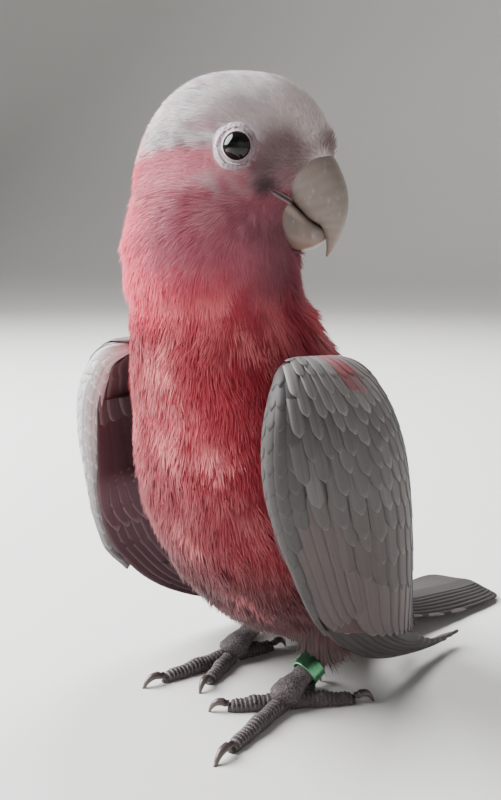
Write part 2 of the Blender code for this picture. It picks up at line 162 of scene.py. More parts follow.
def columns(rows, count):
    """The columns of a table as smooth curves of that many points, each ready to spread over a ring."""
    return np.moveaxis(along(rows, np.linspace(0, len(rows) - 1, count)), -1, 0)[..., None]


TUBE_SIDES = 28


def tube(middles, ways, radii, sides=TUBE_SIDES):
    """Rings square to a path in millimetres; radii is one number per ring or one per ring and side."""
    middles, ways = np.asarray(middles, float), unit(np.asarray(ways, float))
    over = unit(np.cross(ways, (0, 0, 1.0)))
    up = np.cross(over, ways)
    radii = np.asarray(radii, float)
    radii = radii[:, None] if radii.ndim == 1 else radii
    spin = turns(sides)
    return (middles[:, None] + (over[:, None] * np.cos(spin)[None, :, None]
                                + up[:, None] * np.sin(spin)[None, :, None]) * radii[..., None])


def new_object(name, data, *finish, place=(0, 0, 0)):
    item = bpy.data.objects.new(name, data)
    item.location = place
    bpy.context.scene.collection.objects.link(item)
    for made in finish:
        data.materials.append(made)
    return item


def attach(mesh, **values):
    """Stores per-vertex numbers, vectors or colours on a mesh under their names."""
    kinds = {1: ("FLOAT", "value"), 3: ("FLOAT_VECTOR", "vector"), 4: ("FLOAT_COLOR", "color")}
    for name, array in values.items():
        array = np.asarray(array, np.float32)
        kind, field = kinds[1 if array.ndim == 1 else array.shape[1]]
        layer = mesh.attributes.get(name) or mesh.attributes.new(name, kind, "POINT")
        layer.data.foreach_set(field, array.ravel())


def shape_of(mesh):
    """A mesh's points and its normals there, as arrays."""
    points, normals = np.empty((2, len(mesh.vertices) * 3), np.float32)
    mesh.vertices.foreach_get("co", points)
    mesh.vertex_normals.foreach_get("vector", normals)
    return points.reshape(-1, 3).astype(float), normals.reshape(-1, 3).astype(float)


def move_points(mesh, places):
    mesh.vertices.foreach_set("co", places.astype(np.float32).ravel())


def outward_mesh(name, points, faces):
    """A mesh from points and faces, with every face turned outward."""
    mesh = bpy.data.meshes.new(name)
    mesh.from_pydata(points, [], faces)
    shape = bmesh.new()
    shape.from_mesh(mesh)
    bmesh.ops.recalc_face_normals(shape, faces=shape.faces)
    shape.to_mesh(mesh)
    shape.free()
    return mesh


def grid_mesh(name, sheets, values=None):
    """One mesh from closed tubes: each sheet is rings x sides x 3 in metres, its ends closed by fans."""
    points, faces, extra = [], [], {key: [] for key in (values or {})}
    for index, rings in enumerate(sheets):
        rows, sides = rings.shape[:2]
        base = sum(len(p) for p in points)
        at = base + np.arange(rows * sides).reshape(rows, sides)
        points += [rings.reshape(-1, 3), np.array([rings[0].mean(0), rings[-1].mean(0)])]
        following = np.roll(at, -1, axis=1)
        faces += np.stack([at[:-1], following[:-1], following[1:], at[1:]], -1).reshape(-1, 4).tolist()
        faces += [[base + rows * sides, b, a] for a, b in zip(at[0], following[0])]
        faces += [[base + rows * sides + 1, a, b] for a, b in zip(at[-1], following[-1])]
        for key, arrays in (values or {}).items():
            array = np.asarray(arrays[index]).reshape(rows, sides, -1)
            extra[key] += [array.reshape(rows * sides, -1), np.array([array[0].mean(0), array[-1].mean(0)])]
    mesh = outward_mesh(name, np.concatenate(points), faces)
    mesh.shade_smooth()
    attach(mesh, **{key: np.squeeze(np.concatenate(parts)) for key, parts in extra.items()})
    return mesh


def closed_band(name, rings, **values):
    """A mesh from rings x sides x 3 points closed both ways, as a lid or a hoop is."""
    rows, sides = rings.shape[:2]
    at = np.arange(rows * sides).reshape(rows, sides)
    after, beside = np.roll(at, -1, axis=0), np.roll(at, -1, axis=1)
    faces = np.stack([at, beside, np.roll(after, -1, axis=1), after], -1).reshape(-1, 4)
    mesh = outward_mesh(name, rings.reshape(-1, 3), faces.tolist())
    mesh.shade_smooth()
    attach(mesh, **{key: array.ravel() for key, array in values.items()})
    return mesh


def plain(item):
    """Turns an object with modifiers into a plain mesh."""
    graph = bpy.context.evaluated_depsgraph_get()
    mesh = bpy.data.meshes.new_from_object(item.evaluated_get(graph), preserve_all_data_layers=True,
                                           depsgraph=graph)
    item.modifiers.clear()
    item.data = mesh
    return mesh


def stands_for(item, slot, *nodes):
    """Makes a piece part of the one body, in place of these nodes; slot is not used."""
    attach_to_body(item, "root")
    if nodes:
        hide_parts(*nodes)


def piece(name, mesh, finish, slot, *nodes):
    stands_for(new_object(name, mesh, finish), slot, *nodes)


# ---- materials ----


def linear(colour):
    """An sRGB hex colour as linear red, green and blue; a linear colour as it is."""
    if not isinstance(colour, str):
        return colour
    parts = [int(colour[start:start + 2], 16) / 255 for start in (1, 3, 5)]
    return [part / 12.92 if part <= 0.04045 else ((part + 0.055) / 1.055) ** 2.4 for part in parts]


def feed(item, inputs):
    """Gives a node's inputs, by name or number, their values or the sockets that they read."""
    for key, value in dict(inputs).items():
        socket = item.inputs[key]
        if isinstance(value, bpy.types.NodeSocket):
            item.id_data.links.new(value, socket)
        else:
            socket.default_value = (*linear(value)[:3], 1.0) if socket.type == "RGBA" else value


def add(tree, kind, inputs=(), out=0, **settings):
    """Adds a node with its settings and links and returns an output; shader nodes need no prefix."""
    item = tree.nodes.new(kind if "Node" in kind else "ShaderNode" + kind)
    for name, value in settings.items():
        setattr(item, name, value)
    feed(item, inputs)
    return item.outputs[out] if item.outputs else None


def grain(tree, millimetres, detail=4.0, stretch=(1, 1, 1)):
    """Noise on object coordinates whose features are about that many millimetres across."""
    place = add(tree, "TexCoord", out="Object")
    place = add(tree, "Mapping", {"Vector": place, "Scale": stretch})
    return add(tree, "TexNoise", {"Vector": place, "Scale": 1000.0 / millimetres, "Detail": detail}, "Fac")


def material(name, **reads):
    """A new material, its node tree, and outputs that give these per-point values of a mesh."""
    made = bpy.data.materials.new(name)
    made.use_nodes = True
    tree = made.node_tree
    return made, tree, *(add(tree, "Attribute", out=out, attribute_name=key) for key, out in reads.items())


def finished(made, base, layers=(), relief=None, **inputs):
    """The material, with colours laid over its base by their shares, and the shader's other inputs.

    relief is the bumps' height, how deep they go in millimetres and how strongly they show.
    """
    tree = made.node_tree
    for share, tone in layers:
        base = add(tree, "Mix", {0: share, 6: base, 7: tone}, 2, data_type="RGBA")
    if relief:
        height, depth, strength = relief
        inputs["Normal"] = add(tree, "Bump", {"Height": height, "Distance": depth * MM,
                                              "Strength": strength})
    inputs = {key.replace("_", " "): value for key, value in inputs.items()}
    feed(tree.nodes["Principled BSDF"], {"Base Color": base, **inputs})
    return made


# ---- user values ----


def length(name, text, default):
    return bpy.props.FloatProperty(name=name, description=text, default=default * MM, min=0.0,
                                   subtype="DISTANCE", unit="LENGTH", precision=5)


def colour(name, text, default):
    return bpy.props.FloatVectorProperty(name=name, description=text, default=linear(default), size=3,
                                         min=0.0, max=1.0, subtype="COLOR")


class GalahSizes(bpy.types.PropertyGroup):
    voxel: length("Skin grain", "Edge of the skin's remeshing cells", 1.15)
    face_depth: length("Face depth", "How deep the skin lies under the short feathers of the head", 1.0)
    body_depth: length("Body depth", "How deep the skin lies under the body's feathers", 2.6)
    wing_depth: length("Wing depth", "How deep the skin lies under the wing's coverts", 0.9)
    head_spacing: length("Head spacing", "Distance between the head's tufts", 0.8)
    neck_spacing: length("Neck spacing", "Distance between the neck's tufts", 1.1)
    body_spacing: length("Body spacing", "Distance between the body's tufts", 1.6)
    wing_spacing: length("Wing spacing", "Distance between the wing's small coverts", 1.9)
    vane: length("Vane thickness", "Thickness of a flight feather's vane", 0.26)
    patch: bpy.props.FloatProperty(name="Tuft patch", default=0.003, min=0.0005, max=0.02,
                                   description="Side of a tuft's patch on the skin's unwrap")


class GalahColours(bpy.types.PropertyGroup):
    crown: colour("Crown", "Whitish grey of the crown", "#ebe4e5")
    crown_shade: colour("Crown shade", "Bluish grey mottling of the crown", "#a9a5aa")
    forehead: colour("Forehead", "Grey above the bill", "#d0c3c1")
    face: colour("Face", "Mauve grey between eye and bill", "#796264")
    lore: colour("Lore", "Dark mauve at the corner of the bill", "#4a363b")
    eye_skin: colour("Eye skin", "Pale bare skin round the eye", "#f6e8f3")
    ear: colour("Ear", "Light pink behind the eye", "#dd8896")
    cheek: colour("Cheek", "Mauve pink of the cheek", "#ab5f71")
    throat: colour("Throat", "Dark rose under the bill", "#7c3f4b")
    nape: colour("Nape", "Pink of the hind neck", "#ea5069")
    breast: colour("Breast", "Deep rose pink of the breast", "#a12938")
    streak: colour("Streak", "Pale pink of loose feather edges", "#f68d91")
    # The belly colour is the rose in painted shade, laid on the lower belly.
    belly: colour("Belly", "Duller rose of the lower belly", "#45141a")
    vent: colour("Vent", "Grey of the vent and thighs", "#76605f")
    mantle: colour("Mantle", "Grey of the back", "#6d6a69")
    wing: colour("Wing", "Grey of the wing coverts", "#605c5b")
    # The wing edge colour is the pale grey of wing edge and rump, also laid as painted light on the right
    # wing's edge.
    wing_edge_pale_and_lit: colour("Wing edge", "Pale leading edge of the wing", "#e6e3e3")
    lining: colour("Wing lining", "Brownish rose under the wing", "#5f454c")
    secondary: colour("Secondary", "Brownish grey of the long wing feathers", "#584e4d")
    primary: colour("Primary", "Slate black of the wing tip and tail", "#2e2929")
    bill: colour("Bill", "Warm grey horn", "#827770")
    foot: colour("Foot", "Dark grey scales", "#3a3233")
    scale_edge: colour("Scale edge", "Pale worn edges of the scales", "#94898a")
    ring: colour("Ring", "Green anodised metal", "#1f8f4f")


def sizes():
    return bpy.context.scene.galah_sizes


def colours():
    return bpy.context.scene.galah_colours


# ---- lie and markings ----

# Which way feathers lie: a place, and the way they point there. First in the head's frame, both sides alike.
HEAD_LIE = (
    (33, 0, -2, -0.10, 0, 1.0), (29, 0, 8, -0.55, 0, 0.85), (18, 0, 18, -0.9, 0, 0.35),
    (5, 0, 20, -1, 0, 0), (-12, 0, 17, -0.9, 0, -0.45), (-24, 0, 3, -0.5, 0, -0.85),
    (-27, 0, -12, -0.15, 0, -1), (24, 12, 2, -0.5, 0.2, 0.75), (18, 14, -4, -0.6, 0.2, 0.5),
    (26, 9, -9, -0.7, 0.3, 0.25), (20, 12, -12, -0.9, 0.2, -0.15), (10, 15, 8, -0.8, 0, 0.5),
    (-4, 18, 3, -1, 0, 0.1), (-6, 18, -6, -1, 0, -0.12), (10, 17, -13, -0.95, 0, -0.3),
    (2, 18, -16, -0.95, 0, -0.35), (-12, 17, -14, -0.82, 0, -0.6), (14, 13, -22, -0.5, 0, -0.9),
    (5, 17, -28, -0.6, 0, -0.85), (-12, 17, -28, -0.6, 0, -0.85), (18, 8, -30, -0.15, 0, -1),
    (20, 0, -38, -0.1, 0, -1), (-22, 12, -22, -0.45, 0, -0.95),
)
# Then on the body, from between the feet; mirrored to both sides.
BODY_LIE = (
    (0, -54, 140, 0, 0.05, -1), (22, -35, 140, 0.05, 0.1, -1), (0, 4, 140, 0, 0.2, -1),
    (0, -56, 112, 0, -0.02, -1), (30, -35, 112, 0.05, 0.15, -1), (0, -50, 80, 0, 0.15, -1),
    (30, -30, 80, 0.0, 0.3, -0.95), (0, -38, 50, 0, 0.4, -0.92), (30, -20, 50, -0.1, 0.5, -0.85),
    (0, -12, 20, 0, 0.9, -0.4), (25, 0, 22, -0.1, 0.8, -0.5), (0, 25, 13, 0, 1, -0.1),
    (40, 0, 80, 0, 0.35, -0.93), (0, 18, 125, 0, 0.45, -0.9), (0, 38, 95, 0, 0.3, -0.95),
    (20, 28, 100, 0, 0.35, -0.93), (0, 45, 65, 0, 0.15, -1), (0, 44, 35, 0, 0.55, -0.83),
    (38, 15, 50, 0, 0.45, -0.9), (20, -5, 20, 0, 0.1, -1), (44, -30, 108, 0.1, 0.3, -0.95),
    (46, -10, 108, 0, 0.5, -0.87), (46, -30, 85, 0, 0.35, -0.93), (46, 0, 85, 0, 0.45, -0.9),
    (30, 18, 90, 0, 0.5, -0.87), (44, 0, 60, 0, 0.42, -0.9), (40, 25, 60, 0, 0.3, -0.95),
)


def lie_at(points, normals):
    """The way the feathers lie at points in metres: the nearest guides count most, with a little sway."""
    spots, ways = [], []
    for x, y, z, a, b, c in HEAD_LIE:
        for side in ((1, -1) if y else (1,)):
            spots.append(head_world((x, y * side, z)))
            ways.append(np.array((a, b * side, c)) @ SPIN.T)
    for x, y, z, a, b, c in BODY_LIE:
        for side in ((1, -1) if x else (1,)):
            spots.append(world((x * side, y, z)))
            ways.append(np.array((a * side, b, c)))
    apart = np.linalg.norm(points[:, None] - np.array(spots)[None], axis=2)
    weight = 1.0 / (apart + 0.002) ** 4
    way = (weight[..., None] * unit(np.array(ways))[None]).sum(1) / weight.sum(1)[:, None]
    loose = ramp(points[:, 2] / MM, 150, 125)
    sway = (0.20 * ripple(points / MM, 17, 21) + 0.12 * ripple(points / MM, 7, 22)) * (0.3 + 0.7 * loose)
    way = unit(way) + np.cross(normals, way) * sway[:, None]
    way = way - normals * (way * normals).sum(1)[:, None]
    return unit(way)


def round_patch(points, centre, reach, soft=0.5):
    """1 inside an ellipsoid, falling to 0 over a share of its size."""
    distance = np.linalg.norm((points - np.array(centre)) / np.array(reach, float), axis=1)
    return 1 - ramp(distance, 1 - soft, 1 + soft)


# Pale ruffled feathers on neck and breast: where, and how far round.
PALE_SPOTS = (
    ((27, -29, 126), (7, 8, 7)), ((22, -42, 126), (5, 7, 5)), ((14, -44, 95), (9, 8, 5)),
    ((2, -48, 118), (6, 8, 7)), ((18, -36, 42), (8, 9, 5)), ((4, -48, 100), (5, 8, 8)),
    ((22, -40, 90), (4, 7, 8)), ((10, -49, 121), (4, 7, 6)), ((6, -44, 68), (4, 7, 6)),
)
# Round marks on the head: colour, how strong, where, how far round, how soft, and what breaks them up.
CHEEK_MARKS = (
    # The second throat mark is painted shade on the face below the gape.
    ("throat", 0.8, (17, 9, -30), (9, 9, 14), 0.5), ("throat", 0.6, (16, 11, -22), (7, 9, 8), 0.7),
    ("ear", 0.85, (-10, 18, -9), (16, 10, 8), 0.5),
)
CROWN_MARKS = (
    ("crown_shade", 0.75, (-5, 17, 1.0), (13, 7, 3.4), 0.7, "mottle_and_fine", -1.2, 0.9),
    ("nape", 0.6, (-25, 0, 2), (7, 16, 8), 0.6), ("nape", 0.6, (-19, 0, 11), (8, 6, 6), 0.6),
    ("cheek", 0.6, (1.5, 17, 3.2), (6, 6, 2.4), 0.6),
    ("face", 0.5, (23, 12, 4.5), (9, 9, 7), 0.7, "fine", -1.2, 0.6),
    ("face", 0.6, (-5, 17, -2.2), (9, 8, 1.3), 0.8, "mottle", -0.9, 0.5),
)
FACE_MARKS = (
    ("forehead", 0.7, (9, 15, 6), (9, 9, 4.5), 0.6), ("face", 0.3, (9, 15, 6), (9, 9, 4.5), 0.6),
    ("face", 1.0, (21.5, 13, -5.5), (9.5, 9, 7.5), 0.65), ("forehead", 0.6, (28, 9, 2), (4, 6, 4), 0.6),
    ("face", 0.9, (33, 0, -2.5), (4, 9, 3.5), 0.5), ("face", 0.8, (23, 10, -10.5), (7, 7, 3.4), 0.6),
    ("cheek", 0.3, (21.5, 10, -11.5), (4, 6, 2.0), 0.6),
    ("forehead", 0.6, (6, 18, -13.0), (8, 7, 3.2), 0.8, "streaky", -1.6, 1.0),
    ("forehead", 0.2, (0, 18, -21), (13, 10, 8), 0.7, "streaky", -0.3, 0.9),
    ("lore", 0.55, (15.8, 15, -10.0), (3.4, 6, 3.0), 0.6),
    ("lore", 1.0, (17, 14, -14.2), (3.4, 6, 2.4), 0.6),
    ("eye_skin", 1.0, (EYE_AT[0] - 0.6, EYE_AT[1], EYE_AT[2]), (6.6, 9, 6.4), 0.15),
)


def lay(base, shade, amount):
    """Lays one colour over others by an amount from 0 to 1 per point."""
    return base + (np.asarray(shade)[None, :3] - base) * np.clip(amount, 0, 1)[:, None]


def markings_and_painted_light(points, wing_share, wing_inner, wing_front_pale_and_lit):
    """The plumage colour at points in metres, with painted shade and light in places. Skin and coat both use
    it.
    """
    c = colours()
    body, head, q = own_frames(points)
    x, y, z = body.T
    uneven, fine, mottle = ripple(body, 14.0, 3), ripple(body, 5.0, 5), ripple(head * (0.5, 1, 1), 3.2, 14)
    streaky = ripple(head * (0.35, 1, 1) + np.array((0, 0, 0.35)) * head[:, :1], 3.4, 15)
    grains = {"fine": fine, "mottle": mottle, "mottle_and_fine": mottle + fine, "streaky": streaky}
    out = np.repeat(np.array(c.breast, float)[None], len(points), 0)
    # Breast and belly.
    out = lay(out, c.streak, 0.32 * ramp(uneven + 0.6 * fine, 0.35, 1.3) * ramp(z, 45, 80))
    # Painted shade: the lower belly darkened towards the belly colour, for the shade under the body and
    # wings.
    out = lay(out, c.belly, 0.4 * ramp(z, 104, 74) + 0.6 * ramp(z, 70, 42))
    out = lay(out, c.vent, ramp(z + 0.5 * y + 3 * uneven, 26, 8) * ramp(y, -5, 14))
    thigh = round_patch(np.stack([np.abs(x), y, z], 1), (23, 2, 20), (10, 12, 15), 0.6)
    out = lay(out, c.secondary, 0.85 * thigh)
    # Neck, lighter behind, with the throat's dark rose and pale ends where it lies over the breast.
    out = lay(out, c.nape, ramp(z, 126, 136) * (0.45 + 0.55 * ramp(q[:, 0], 2, -22)))
    out = lay(out, c.streak, 0.45 * ramp(z, 131, 135) * ramp(z, 142, 137) * ramp(uneven, -0.5, 0.5))
    out = lay(out, c.throat, 0.8 * ramp(z, 128, 140) * ramp(q[:, 0], 4, 18))
    ruffled = 0.75 * ramp(ripple(body * (1, 1, 0.3), 3.0, 9), -0.3, 0.7)
    for place, reach in PALE_SPOTS:
        out = lay(out, c.streak, ruffled * round_patch(body, place, reach, 0.8))
    # Back and rump.
    out = lay(out, c.mantle, ramp(y - 0.42 * (118 - z), -6, 4) * ramp(z, 124, 114))
    out = lay(out, c.wing_edge_pale_and_lit, 0.12 * ramp(y, 26, 36) * ramp(z, 60, 44))
    # Head: cheeks, the grey crown with its mottling, then the marks round bill and eye.
    on_head = ramp(np.linalg.norm(q - np.array((3, 8, -6)), axis=1), 44, 34)

    def marked(base, marks):
        for shade, amount, centre, reach, soft, *broken in marks:
            if broken:
                amount = amount * ramp(grains[broken[0]], *broken[1:])
            base = lay(base, getattr(c, shade), on_head * amount * round_patch(q, centre, reach, soft))
        return base

    out = lay(out, c.cheek, on_head * ramp(q[:, 0], -26, -4) * ramp(q[:, 2], -44, -28) * 0.85)
    out = marked(out, CHEEK_MARKS[:2])
    out = lay(out, c.ear, 0.48 * round_patch(q, (-1, 17, -30), (17, 13, 17), 0.6) * ramp(streaky, -0.4, 1.1))
    out = marked(out, CHEEK_MARKS[2:])
    grey_line = -2.6 - 0.02 * q[:, 0] + 0.9 * fine
    out = lay(out, c.crown, on_head * ramp(q[:, 2], grey_line - 1.0, grey_line + 1.2))
    on_top = on_head * ramp(q[:, 2], grey_line, grey_line + 3)
    out = lay(out, c.crown_shade, on_top * 0.55 * ramp(mottle + 0.8 * uneven, 0.1, 1.4))
    out = lay(out, c.ear, on_top * 0.22 * ramp(mottle - 0.8 * fine, 0.5, 1.6))
    out = marked(out, CROWN_MARKS)
    out = lay(out, c.forehead, on_head * ramp(q[:, 0], 12, 24) * ramp(q[:, 2], -16, -10))
    out = marked(out, FACE_MARKS)
    # Wings, with a few pink feathers at the top of the left one.
    # The front band's paleness is the wing's pale edge and, on the right wing, painted light.
    grey = lay(np.repeat(np.array(c.wing, float)[None], len(points), 0), c.wing_edge_pale_and_lit,
               0.08 * ramp(fine, 0.2, 1.2) + 0.9 * wing_front_pale_and_lit)
    grey = lay(grey, c.secondary, 0.9 * ramp(z, 92, 58))
    grey = lay(grey, c.lining, wing_inner * (1 - 0.9 * wing_front_pale_and_lit))
    grey = lay(grey, np.array(c.breast) * 0.55, 0.8 * round_patch(body, (52, -21, 114), (4, 4.5, 4), 0.7))
    out += (grey - out) * wing_share[:, None]
    return np.clip(out, 0, 1)


# ---- wing surface ----

# From the shoulder down: the front edge, the crest and the rear edge of the wing's inner face.
WING_ROWS = np.array((
    (38.0, -26.0, 114.5, 37.0, -21.0, 115.5, 35.0, -15.0, 114.5),
    (40.5, -38.0, 109.0, 43.5, -18.0, 111.0, 29.0, 5.0, 108.5),
    (41.0, -42.5, 101.0, 46.5, -12.0, 101.0, 21.0, 19.0, 98.0),
    (40.5, -42.0, 88.0, 47.5, -5.0, 87.0, 16.0, 31.0, 84.0),
    (39.5, -37.0, 74.0, 47.0, 2.0, 71.0, 14.0, 39.0, 66.0),
    (38.5, -28.5, 57.0, 45.5, 9.0, 52.0, 15.0, 45.5, 46.0),
    (37.5, -19.0, 40.0, 43.0, 14.0, 34.0, 17.0, 49.5, 27.0),
    (36.0, -8.5, 27.5, 39.5, 18.0, 20.0, 20.0, 53.0, 8.5),
))
# From the wrist down: the front and the rear edge of the blade.
PRIMARY_ROWS = np.array((
    (37.5, -35.0, 69.0, 38.5, -10.0, 68.0), (37.0, -28.0, 55.0, 38.5, 4.0, 51.0),
    (36.0, -18.5, 39.0, 37.5, 15.0, 35.0), (35.0, -8.0, 25.5, 35.5, 27.0, 22.5),
    (33.0, 9.0, 14.5, 33.0, 40.0, 14.5), (31.0, 30.0, 8.0, 30.5, 53.0, 9.5),
    (29.0, 50.0, 5.6, 28.5, 64.0, 6.8), (28.0, 68.0, 5.2, 27.8, 70.0, 5.6),
))
BLADE_CAMBER = 3.0
# The wing's thickness at the first rows, and how much fuller each side is.
WING_THICKNESS = (1.5, 7.0, 9.0, 8.5, 6.5, 3.8, 2.4, 1.4)
WING_FULLNESS = {"left": 1.35, "right": 1.0}
# How much of that is lost towards the rear, and what share of the way across the round front edge takes.
WING_TAPER, WING_EDGE = 0.65, 0.12
# By height: how far the right wing hangs out and forward of the left one's mirror image.
WING_DROOP = np.array(((0, 11, 9), (20, 14, 13), (40, 15, 13.5), (56, 12.5, 10), (74, 6.5, 4.5),
                       (88, 2.5, 1), (104, 0, -1.5), (118, 0, 0)), float)
# From the rump back: y, height of the crown, half width and thickness.
TAIL_ROWS = (
    (30.0, 25.0, 10.0, 5.0), (42.0, 17.5, 13.0, 4.6), (56.0, 12.0, 15.0, 3.8), (72.0, 8.0, 17.0, 3.2),
    (90.0, 5.4, 18.5, 2.8), (108.0, 3.0, 18.5, 2.7), (117.0, 2.3, 15.5, 2.3), (121.0, 1.9, 10.0, 1.9),
)


def paired(place, across):
    return np.broadcast_arrays(np.asarray(place, float), np.asarray(across, float))


def drooped(points, side, share):
    """Wing points on their own side; the right wing hangs off the body by its share of the droop."""
    points = np.array(points, float)
    if side == "right":
        out, forward = (np.interp(points[..., 2], WING_DROOP[:, 0], WING_DROOP[:, k]) for k in (1, 2))
        points[..., 0] = -(points[..., 0] + out * share)
        points[..., 1] -= forward * share
    return points


def wing_point(side, place, across):
    """The wing's inner face: place in rows from the shoulder, across from 0 in front to 1 at the rear."""
    place, across = paired(place, across)
    row = along(WING_ROWS, place)
    front, crest, rear = row[..., :3], row[..., 3:6], row[..., 6:]
    a = across[..., None]
    points = front * (1 - a) ** 2 + (4 * crest - front - rear) * a * (1 - a) + rear * a**2
    return drooped(points, side, np.maximum(1 - across, 0) ** 1.2)


def primary_point(side, place, across):
    """The blade of the hand's feathers: place in rows from the wrist, across from front to rear."""
    place, across = paired(place, across)
    row = along(PRIMARY_ROWS, place)
    a = across[..., None]
    points = row[..., :3] * (1 - a) + row[..., 3:] * a
    points[..., 0] += BLADE_CAMBER * np.sin(math.pi * np.clip(across, 0, 1))
    return drooped(points, side, 1 - 0.6 * across)


def tail_point(side, place, across):
    """The tail's upper face: place in rows from the rump, across from -1 to 1."""
    place, across = paired(place, across)
    y, crown, half, thick = np.moveaxis(along(TAIL_ROWS, place), -1, 0)
    drop = np.minimum(2.6, np.maximum(crown - thick, 0)) * across**2
    return np.stack([half * across, y, crown - drop], -1)


def outward(surface, side, place, across):
    """The outward normal of a wing's or the tail's surface; the tail's is its upper side."""
    little = 0.03
    down = surface(side, place + little, across) - surface(side, place - little, across)
    over = surface(side, place, across + little) - surface(side, place, across - little)
    return unit(np.cross(down, over)) * SIDES[side]


def wing_surface(side, place, across):
    """The wing's outer face, round at the front and thin at the rear; counted as the inner face is."""
    place, across = paired(place, across)
    thick = along(np.array(WING_THICKNESS)[:, None], place)[..., 0] * WING_FULLNESS[side]
    thick = thick * (1 - WING_TAPER * across)
    edge = np.clip(across / WING_EDGE, 0, 1)
    full = np.sqrt(np.maximum(1 - (1 - edge) ** 2, 0))
    stand = thick * 0.5 * (1 - full) + np.maximum(thick * full, 0.5)
    return wing_point(side, place, across) + outward(wing_point, side, place, across) * stand[..., None]


def wing_rim(side, place, across):
    """The wing's round leading edge: across from 0 at the inner face to 1 at the outer face."""
    place, across = paired(place, across)
    low, high = wing_point(side, place, 0.05 + 0 * place), wing_surface(side, place, 0.05 + 0 * place)
    ahead = wing_point(side, place, 0 * place) - low
    half, turn = (high - low) / 2, across[..., None] * math.pi
    return low + half - half * np.cos(turn) + ahead * 1.15 * np.sin(turn)


def cover_point(side, place, across):
    """From the wing's inner face onto the blade of the hand's feathers; across as on the blade."""
    place, across = paired(place, across)
    part = ramp(place, 3.2, 4.6)[..., None]
    return (wing_point(side, place, 0.02 + 0.36 * across) * (1 - part)
            + primary_point(side, np.maximum(place - 4.2, 0), across) * part)


# What make_skin found, for the pieces that grow on the skin or keep clear of it.
SKIN = {}


# A vane's least distance from the skin, how near the skin has to be to count, and how much of a row's
# shift the next row keeps.
CLEARANCE, NEAR, STIFFNESS = 0.22, 5.0, 0.93


def clear_of_skin(points, stand, away):
    """Moves a vane's points off the skin where they lie in it, and lets the stiff vane glide down beyond."""
    places, short = world(points), np.zeros(stand.shape)
    for spot in np.ndindex(stand.shape):
        place, normal, _, apart = SKIN["tree"].find_nearest(places[spot])
        height = float((places[spot] - np.array(place)) @ np.array(normal)) / MM
        gap = CLEARANCE + 0.5 * abs(stand[spot]) - height
        if apart < NEAR * MM:
            short[spot] = max(gap, 0.0) * ramp(np.array(normal) @ away[spot], 0.3, 0.8)
    for row in range(1, len(short)):
        short[row] = np.maximum(short[row], short[row - 1] * STIFFNESS)
    return points + away * short[..., None]


def vane(surface, side, start, end, width, lift, tilt=0.2, tip=0.22, blunt=2.0, rows=22, columns=7, seed=0,
         camber=0.12, dip=0.0):
    """A solid feather vane on a surface: its rings in metres, and its across, along and rim values.

    start and end are (place, across) pairs; width is half the vane's width, lift how far it stands off and
    dip how much lower its root is.
    """
    s = np.linspace(0, 1, rows)
    place, across = (start[k] + (end[k] - start[k]) * s for k in (0, 1))
    centre = surface(side, place, across)
    chord = np.linalg.norm(surface(side, place, across + 0.05) - centre, axis=1) / 0.05
    rng = np.random.default_rng(seed)
    close = np.clip((s - (1 - tip)) / tip, 0, 1)
    half = width * (0.35 + 0.65 * ramp(s, 0, 0.2)) * np.maximum(1 - close**blunt, 0.02) ** (1 / 1.8)
    half = half * (1 + 0.012 * rng.uniform(-1, 1, rows))
    u = np.linspace(-1, 1, columns)
    spread = across[:, None] + (half / chord)[:, None] * u[None]
    spread = spread if surface in (tail_point, wing_rim) else np.maximum(spread, -0.02)
    normal = outward(surface, side, place[:, None], spread)
    stand = (lift + 0.2 * s[:, None] - dip * ramp(s, 0.45, 0.0)[:, None] - tilt * u[None]
             - camber * u[None] ** 2 * (half / width)[:, None])
    top = surface(side, place[:, None], spread) + normal * stand[..., None]
    if lift < 0 and surface in (wing_point, cover_point):
        top = clear_of_skin(top, stand, -normal)
    thick = sizes().vane / MM * (0.3 + 0.7 * np.sqrt(np.maximum(1 - u**2, 0)))[None] * (1 - 0.6 * s[:, None])
    low = top - normal * thick[..., None]
    rings = np.concatenate([top, low[:, ::-1]], 1)
    travel = np.concatenate([[0], np.cumsum(np.linalg.norm(np.diff(centre, axis=0), axis=1))])
    uu = np.concatenate([u, u[::-1]])
    rim = np.maximum(0.5 * ramp(np.abs(uu)[None] + 0 * s[:, None], 0.86, 1.0), ramp(s, 0.94, 1.0)[:, None])
    return (world(rings), half[:, None] * uu[None], travel[:, None] + 0 * uu[None], rim,
            np.full(rim.shape, rng.uniform()))


def vanes_mesh(name, made, shades):
    """One mesh from many vanes, each with a colour of its own."""
    keys = ("across", "travel", "rim", "tint")
    values = {key: [item[k + 1] for item in made] for k, key in enumerate(keys)}
    values["marking"] = [np.broadcast_to(np.append(shade, 1.0), (*item[1].shape, 4))
                         for item, shade in zip(made, shades)]
    return grid_mesh(name, [item[0] for item in made], values)


# ---- skin ----

# From nape to bill: x, height of the crown, of the chin and of the widest line, and half width there.
HEAD_ROWS = (
    (-27.6, -9.0, -17.0, -12.0, 2.0), (-26.2, -3.5, -23.0, -12.0, 7.5), (-23.0, 4.5, -28.0, -11.5, 11.5),
    (-17.5, 11.8, -31.0, -11.0, 15.0), (-10.5, 16.8, -33.0, -10.5, 17.6), (-2.5, 19.4, -34.0, -10.5, 18.8),
    (6.0, 19.9, -34.5, -10.5, 18.6), (13.0, 19.0, -33.5, -10.5, 17.4), (18.0, 17.5, -28.0, -8.0, 15.8),
    (22.5, 15.0, -17.5, -4.5, 13.8), (26.5, 11.6, -13.0, -2.5, 11.6), (29.8, 6.9, -10.0, -2.0, 9.0),
    (32.2, 1.6, -8.4, -3.6, 5.8), (33.6, -3.0, -6.6, -5.0, 2.0),
)
HEAD_SQUARENESS = 2.25
SWELL = 0.6 * MM


